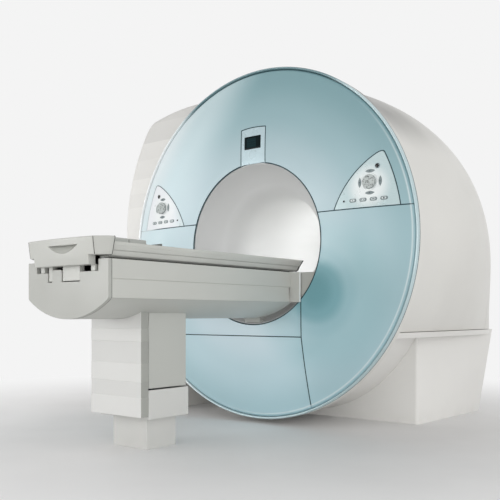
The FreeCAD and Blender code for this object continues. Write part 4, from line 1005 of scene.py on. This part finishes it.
# grey cheeks close the mouth's lower corners beside the table, up to the hull's height; their
# darker grey is painted shade
cheek = {"inner": 0.3220, "top": 0.868, "radius": 0.4655, "front": -0.7885, "rear": -0.7760}
turn = np.linspace(pi - np.arcsin(cheek["inner"] / cheek["radius"]),
                   np.arccos((cheek["top"] - axisHeight) / cheek["radius"]), 16)
cheekArc = stacked(*polar(cheek["radius"], turn))
cheekLine = roundedOutline([*cheekArc, (cheek["inner"], cheek["top"])],
                           [*roundedAtEnds(cheekArc, 0.0), 0.002], 4)
buildPiece("mouthCheeks", bothSides(cheekLine, cheek["front"], cheek["rear"], 0.0006, 0.0004),
           "scanner", "bore_white", finish="cap_grey")

# left side cover: its outer line runs up the flank, round the shoulder and over to the housing
sideCover = {
    "front": -0.684, "rear": 0.150, "round": 0.032, "foot": (-1.195, 0.0), "waist": (-1.222, 1.18),
    "shoulder": ((-1.222, 1.18), (-1.144, 1.621), (-1.026, 1.856)), "bend": (-0.985, 1.921),
    "crest": ((-0.940, 1.935), (-0.796, 1.966), (-0.466, 1.987)), "topShade": (-0.430, 1.989),
    "end": (-0.430, 1.950),
    "inside": ((-0.430, 1.930), (-0.620, 1.780), (-0.800, 1.580), (-0.900, 1.380), (-0.950, 1.150),
               (-0.950, 0.950), (-0.920, 0.750), (-0.871, 0.560), (-0.871, 0.0)),
}
shoulder, crest = arcThrough(*sideCover["shoulder"], 26), arcThrough(*sideCover["crest"], 16)
outside = np.concatenate([
    straight(sideCover["foot"], sideCover["waist"], 12)[:-1], shoulder,
    bentOver(shoulder[-1], sideCover["bend"], crest[0]), crest,
    bentOver(crest[-1], sideCover["topShade"], sideCover["end"]), [sideCover["end"]],
])
coverLine = np.concatenate([outside, sideCover["inside"]])
# only the outer line draws in at the two ends, and its foot stays on the floor
onOutside = (np.arange(len(coverLine)) < len(outside))[:, None]
rows = []
for y, inset in roundedEnds(sideCover["front"], sideCover["rear"], sideCover["round"],
                            sideCover["round"], 7):
    row = np.where(onOutside, insetOutline(coverLine, inset), coverLine)
    row[0] = sideCover["foot"][0] + inset, sideCover["foot"][1]
    rows.append(stacked(row[:, 0], y, row[:, 1]))
buildPiece("sideCover", [(np.array(rows), "capped")], "scanner", "housing_white",
           ["left_side_cover"], finish="side_white")
print("side cover made")

# patient table
table = {
    "hullHalf": 0.280, "hullFront": -2.110, "capRear": -2.092, "keelZ": 0.614, "sideLowZ": 0.703,
    "grooveZ": 0.785, "hullTopZ": 0.870, "troughHalf": 0.216, "troughFloor": 0.820,
    "slotZ": 0.778, "tabTop": 0.833, "slots": ((-0.134, -0.101), (-0.034, 0.092)),
    "tongues": ((-0.130, -0.105), (-0.030, 0.088)), "tongueLow": 0.782,
    "panelWall": 0.009, "panelFront": -2.090, "panelRear": -0.8093, "panelStep": 0.014,
    "grooveHalf": 0.002, "grooveDepth": 0.003,
    "flangeHalf": 0.338, "flangeEdge": 0.0025, "flangeFront": -0.8088, "flangeRear": -0.7968,
}
hullHalf, hullTopZ, sideLowZ = table["hullHalf"], table["hullTopZ"], table["sideLowZ"]

# end cap: the hull's section with the two slots, its front edge rounded, and a seam behind it; its
# grey, darker than the side panels', is painted shade
half, floorZ = table["troughHalf"], table["troughFloor"]
slotZ, tab = table["slotZ"], table["tabTop"]
(slotA, slotB), (slotC, slotD) = table["slots"]
keel = arcThrough((-hullHalf, sideLowZ), (0.0, table["keelZ"]), (hullHalf, sideLowZ), 25)
capOutline = roundedOutline(
    [*keel, (hullHalf, hullTopZ), (half, hullTopZ), (half, floorZ), (slotD, floorZ),
     (slotD, slotZ), (slotC, slotZ), (slotC, tab), (slotB, tab), (slotB, slotZ), (slotA, slotZ),
     (slotA, floorZ), (-half, floorZ), (-half, hullTopZ), (-hullHalf, hullTopZ)],
    roundedAtEnds(keel, 0.009) + [0.003] * 2 + [0.002] * 4 + [0.012] * 2 + [0.002] * 4
    + [0.003] * 2, 6)
capSeam = barGrid(insetOutline(capOutline, -0.0002), table["capRear"] - 0.0004,
                  table["panelFront"] - 0.0002, 0.0002, 0.0002)
cap = barGrid(capOutline, table["hullFront"], table["capRear"], 0.0012, 0.0004)
buildPiece("hullEndCap", [cap, (*capSeam, "table_seal")], "table", "table_grey",
           ["hull_end_cap"], finish="cap_grey")


def panelLean(z):
    # the side panels' lower part ends a little further forward
    return -table["panelStep"] * (z < table["grooveZ"])


innerFace, sunk = hullHalf - table["panelWall"], hullHalf - table["grooveDepth"]
panelLow = sideLowZ + 0.0003
grooveLow, grooveHigh = [table["grooveZ"] + way * table["grooveHalf"] for way in (-1, 1)]
panelLine = roundedOutline(
    [(innerFace, panelLow), (hullHalf, panelLow), (hullHalf, grooveLow), (sunk, grooveLow),
     (sunk, grooveHigh), (hullHalf, grooveHigh), (hullHalf, hullTopZ), (innerFace, hullTopZ)],
    [0.001, 0.0025, 0.0012, 0.0005, 0.0005, 0.0012, 0.003, 0.001])
for sideName, side in sides:
    grid = barGrid(panelLine * np.array([side, 1]), table["panelFront"], table["panelRear"],
                   0.002, 0.002, panelLean)
    buildPiece(f"{sideName}TablePanel", [grid], "table", "table_grey", [f"{sideName}_side_panel"])

# white strips on the edges of the hull's rear flange: a painted highlight
near, far = table["flangeHalf"] - 0.0004, table["flangeHalf"] + table["flangeEdge"]
low, high = sideLowZ + 0.0005, hullTopZ - 0.0015
flangeLine = roundedOutline([(near, low), (far, low), (far, high), (near, high)], 0.0004)
buildPiece("flangeHighlights", bothSides(flangeLine, table["flangeFront"], table["flangeRear"],
                                    0.0003, 0.0003), "table", "table_grey", finish="ring_white")

# tabletop: dished section with a lip, a fine groove under the lip, and a slanted far end; a dark
# rubber strip on that end stands in for the shade under it: painted shade
top = {
    "half": 0.262, "lipHalf": 0.246, "lowHalf": 0.240, "lowBendZ": 0.8855, "stepHalf": 0.2535,
    "edgeZ": 0.945, "dishZ": 0.927, "stepZ": 0.906, "lowZ": 0.877, "front": -2.078,
    "rearHigh": -0.664, "rearLow": -0.712, "grooveZ": 0.929, "grooveSize": 0.0012,
    "endInset": 0.0015, "endFront": -0.722, "endThick": 0.014,
}
half, stepHalf, stepZ, edgeZ = top["half"], top["stepHalf"], top["stepZ"], top["edgeZ"]
grooveZ, fine = top["grooveZ"], top["grooveSize"]
dish = arcThrough((top["lipHalf"], edgeZ), (0.0, top["dishZ"]), (-top["lipHalf"], edgeZ), 29)
sideLine = [(top["lowHalf"], top["lowZ"]), (stepHalf - 0.001, top["lowBendZ"]), (stepHalf, stepZ),
            (stepHalf + 0.0045, stepZ + 0.004), (half, grooveZ - fine), (half - fine, grooveZ),
            (half, grooveZ + fine), (half, edgeZ)]
sideRadii = [0.004, 0.004, 0.002, 0.002, 0.0005, 0.0002, 0.0005, 0.004]
topOutline = roundedOutline(mirrored(sideLine, dish),
                            sideRadii + roundedAtEnds(dish, 0.006) + sideRadii[::-1])
endLine = [(top["lowHalf"], top["lowZ"]), (stepHalf, top["lowBendZ"]), (stepHalf, stepZ),
           (half, edgeZ)]


def topSlant(z):
    # the far end runs back from rearLow at the underside to rearHigh at the lip
    return (top["rearLow"] - top["rearHigh"]) * (edgeZ - z) / (edgeZ - top["lowZ"])


endOutline = insetOutline(roundedOutline(mirrored(endLine, dish), 0.002), top["endInset"])
endShadeStrip = barGrid(endOutline, top["endFront"], top["rearHigh"] + top["endThick"], 0.0004, 0.0008,
                    topSlant)
board = barGrid(topOutline, top["front"], top["rearHigh"], 0.001, 0.004, topSlant)
buildPiece("patientTop", [board, (*endShadeStrip, "table_seal")], "top", "top_grey", ["tabletop"])

# rubber wipers close the gap between the hull's sides and the sliding top
wiper = {"inner": 0.240, "outer": 0.2775, "low": 0.8685, "high": 0.8758, "front": -2.074,
         "rear": -0.816}
inner, outer, high = wiper["inner"], wiper["outer"], wiper["high"]
wiperLine = roundedOutline([(inner, wiper["low"]), (outer, wiper["low"]), (outer, high - 0.0012),
                            (outer - 0.006, high), (inner, high)], 0.0012)
buildPiece("topWipers", bothSides(wiperLine, wiper["front"], wiper["rear"], 0.0005, 0.0005),
           "table", "pad_grey", finish="table_seal")

# nose: crowned in plan and drawn in towards its underside, with a scooped grip
nose = {
    "half": 0.288, "lowHalf": 0.268, "sideY": -2.106, "frontY": -2.1645, "rearY": -2.080,
    "bendX": 0.222, "bendY": -2.150, "bendRound": 0.016,
    "topZ": 0.964, "lowZ": 0.886, "lowBack": 0.010, "topRound": 0.007, "lowRound": 0.003,
    "gripX": 0.034, "gripHalf": 0.098, "gripZ": 0.933, "gripDrop": 0.036, "gripDepth": 0.034,
    "blockHalf": 0.190, "blockLow": 0.846, "blockTop": 0.889, "blockFront": -2.106,
    "padLow": 0.8203, "padInner": 0.163, "seamShift": 0.004, "seamRadius": 0.0012,
}
noseLow, noseTop, rearY = nose["lowZ"], nose["topZ"], nose["rearY"]


def noseSides(z):
    # half width and set-back at a height, both straight from the underside to the top
    share = (z - noseLow) / (noseTop - noseLow)
    return (nose["lowHalf"] + (nose["half"] - nose["lowHalf"]) * share,
            nose["lowBack"] * (1 - share))


def nosePlan(reach, back, frontRound, corners, rounds):
    # plan from left to right: a crowned front, y = frontY + (bendY - frontY) * (x / bendX)^2, then
    # the corners behind it
    x = np.linspace(-1, 1, 121) * reach
    deep = nose["bendY"] - nose["frontY"]
    front = stacked(x, nose["frontY"] + back + deep * (x / nose["bendX"]) ** 2)
    return roundedOutline([*front, *corners], roundedAtEnds(front, frontRound) + rounds, 8)


def gripPush(x, z):
    # scoop: full depth under the straight upper edge, fading to nothing at the lower arc
    across = np.clip(1 - ((x - nose["gripX"]) / nose["gripHalf"]) ** 2, 0, 1)
    below = (nose["gripZ"] - z) / np.maximum(nose["gripDrop"] * across, 1e-6)
    inside = (below > 0) & (below < 1) & (across > 0)
    push = nose["gripDepth"] * np.sqrt(across) * (1 - np.clip(below, 0, 1)) ** 0.75
    return np.where(inside, push, 0)


# rows from the underside up, close together over the scoop, with a quarter circle at each edge:
# inset = round * (1 - sin(turn)) at the underside and round * (1 - cos(turn)) at the top
lowRound, topRound, ledge = nose["lowRound"], nose["topRound"], nose["gripZ"]
turn = np.linspace(0, pi / 2, 6)
wall = np.concatenate([np.linspace(noseLow + lowRound, ledge - 0.0338, 5),
                       np.linspace(ledge - 0.0325, ledge - 0.0002, 44), [ledge + 0.0002],
                       np.linspace(ledge + 0.002, noseTop - topRound, 5)])
heights = np.concatenate([noseLow + lowRound * (1 - np.cos(turn))[:-1], wall,
                          noseTop - topRound * (1 - np.sin(turn))[1:]])
insets = np.concatenate([lowRound * (1 - np.sin(turn))[:-1], np.zeros(len(wall)),
                         topRound * (1 - np.cos(turn))[1:]])
shell = []
for z, inset in zip(heights, insets):
    halfWidth, back = noseSides(z)
    halfWidth, back, cut = halfWidth - inset, back + inset, nose["bendRound"]
    x, y = nosePlan(nose["bendX"], back, cut,
                    [(halfWidth, nose["sideY"] + back), (halfWidth, rearY), (-halfWidth, rearY),
                     (-halfWidth, nose["sideY"] + back)], [cut, 0.0, 0.0, cut]).T
    shell.append(stacked(x, y + gripPush(x, z) * (y < nose["bendY"] + 0.012), z))
half, blockLow, blockTop = nose["blockHalf"], nose["blockLow"], nose["blockTop"]
block = []
for z, inset in ((blockLow, 0.002), (blockLow + 0.0006, 0.0006), (blockLow + 0.002, 0.0),
                 (blockTop, 0.0)):
    reach = half - inset
    x, y = nosePlan(reach, noseSides(z)[1] + inset, 0.004, [(reach, rearY), (-reach, rearY)],
                    [0.0, 0.0]).T
    block.append(stacked(x, y, z))
forms = [(np.array(shell), "capped"), (np.array(block), "capped")]
feet = [(left, right, table["tongueLow"], 0.003) for left, right in table["tongues"]]
feet += [(-half, -nose["padInner"], nose["padLow"], 0.004),
         (nose["padInner"], half, nose["padLow"], 0.004)]
for left, right, footZ, footRound in feet:
    outline = roundedOutline([(left, blockTop), (left, footZ), (right, footZ), (right, blockTop)],
                             [0.0, footRound, footRound, 0.0])
    forms.append(barGrid(outline, nose["blockFront"], rearY, 0.0016, 0.0004))
buildPiece("topNose", forms, "top", "table_grey", ["tabletop_nose"])

# dark seams of the nose: one down each cut corner, and a gasket against the tabletop
z = np.linspace(noseLow + 0.002, noseTop - 0.003, 16)
halfWidth, back = noseSides(z)
corner = stacked(nose["bendX"], nose["bendY"] + back)
edge = stacked(halfWidth, nose["sideY"] + back)
x, y = (corner + nose["seamShift"] * unit(edge - corner)).T
seams = [tubeGrid(stacked(side * x, y, z), nose["seamRadius"]) for side in (-1, 1)]
lowHalf, topHalf = nose["lowHalf"], nose["half"] + 0.0008
gasket = roundedOutline([(-lowHalf, noseLow - 0.001), (lowHalf, noseLow - 0.001),
                         (topHalf, noseTop + 0.0006), (-topHalf, noseTop + 0.0006)], 0.006)
seams.append(barGrid(gasket, rearY - 0.0012, rearY + 0.0018, 0.0004, 0.0004))
buildPiece("noseSeams", seams, "top", "table_grey", finish="table_seal")

# lift skirt: shallow telescoping bands, and a top that follows the hull's keel:
# z = high + radius - sqrt(radius^2 - x^2)
skirt = {
    "half": 0.176, "front": -1.832, "rear": -1.782, "low": 0.165, "shoulder": 0.600,
    "high": 0.6134, "cornerRound": 0.006, "step": 0.0014, "blend": 0.0016,
}
sag = sideLowZ - table["keelZ"]
keelRadius = (hullHalf ** 2 + sag ** 2) / (2 * sag)
half = skirt["half"]
plan = roundedOutline([(-half, skirt["front"]), (half, skirt["front"]), (half, skirt["rear"]),
                       (-half, skirt["rear"])], skirt["cornerRound"], 6)
spread = np.linspace(0, 1, 12)[:-1, None]                 # more points along each straight side
plan = (plan[:, None] * (1 - spread) + np.roll(plan, -1, 0)[:, None] * spread).reshape(-1, 2)
levels = [skirt["low"]]
for level in skirtEdges:
    levels += [level - skirt["blend"], level + skirt["blend"]]
levels += [skirt["shoulder"], skirt["high"]]
rows = []
for z, band in zip(levels, np.searchsorted(skirtEdges, levels)):
    x, y = (insetOutline(plan, skirt["step"]) if band % 2 else plan).T
    rows.append(stacked(x, y, z))
rows.append(rows[-1] + stacked(0.0, 0.0, keelRadius - halfChord(keelRadius, rows[-1][:, 0])))
skirtPiece = buildPiece("skirtBands", [(np.array(rows), "capped")], "table", "skirt_white",
                        ["lift_skirt"], 8.0)
# the side faces take a darker copy of the skirt's finish: painted shade
skirtPiece.data.materials.append(finishes["skirt_side"])
facing = np.zeros(3 * len(skirtPiece.data.polygons))
skirtPiece.data.polygons.foreach_get("normal", facing)
skirtPiece.data.polygons.foreach_set("material_index", (np.abs(facing[0::3]) > 0.9).astype(int))
print("table pieces made")


def makeFloor():
    # a disc of rings that widen outwards; grey near the scanner, fading into the white backdrop
    radius = np.concatenate([[0.0], np.geomspace(0.3, studio["floorRadius"], 40)])[:, None]
    turn = fullTurn(96)
    x, y = radius * np.cos(turn), radius * np.sin(turn)
    mesh = bpy.data.meshes.new("studioFloor")
    mesh.from_pydata(stacked(x, y, -0.0005).reshape(-1, 3).tolist(), [],
                     gridFaces(*x.shape, False).tolist())
    clean(mesh)
    if mesh.polygons[0].normal.z < 0:
        mesh.flip_normals()
    floor = bpy.data.objects.new("studioFloor", mesh)
    bpy.context.scene.collection.objects.link(floor)
    finish = Finish("studioFloor")
    along = finish.math("ADD", finish.axis("Y"), 0.7)
    spread = finish.math("SQRT", finish.squares(finish.axis("X"), along))
    # painted light: the floor near the scanner is lighter towards the left and the front
    leftwards = finish.math("ADD", finish.math("MULTIPLY", finish.axis("X"), -0.31),
                            finish.math("MULTIPLY", finish.axis("Y"), -0.25))
    near = finish.times(finish.patches(2.0, 5.0, scaled(studio["floorNear"], 0.98),
                                       scaled(studio["floorNear"], 1.02)),
                        finish.ramp(leftwards, (0.0, 0.83), (0.2, 0.88), (0.6, 0.91), (0.85, 1.0)))
    finish.give(near, 0.6, Specular_IOR_Level=0.2)
    share = finish.ramp(finish.math("DIVIDE", spread, 4.0), (0.2, 0.0), (0.95, 1.0))
    finish.finishWith(finish.math("MULTIPLY", finish.seenRays(), share), finish.shader,
                      finish.add("ShaderNodeEmission", Color=studio["backdrop"]),
                      "Material Output")
    mesh.materials.append(finish.material)


makeFloor()
print("floor laid")
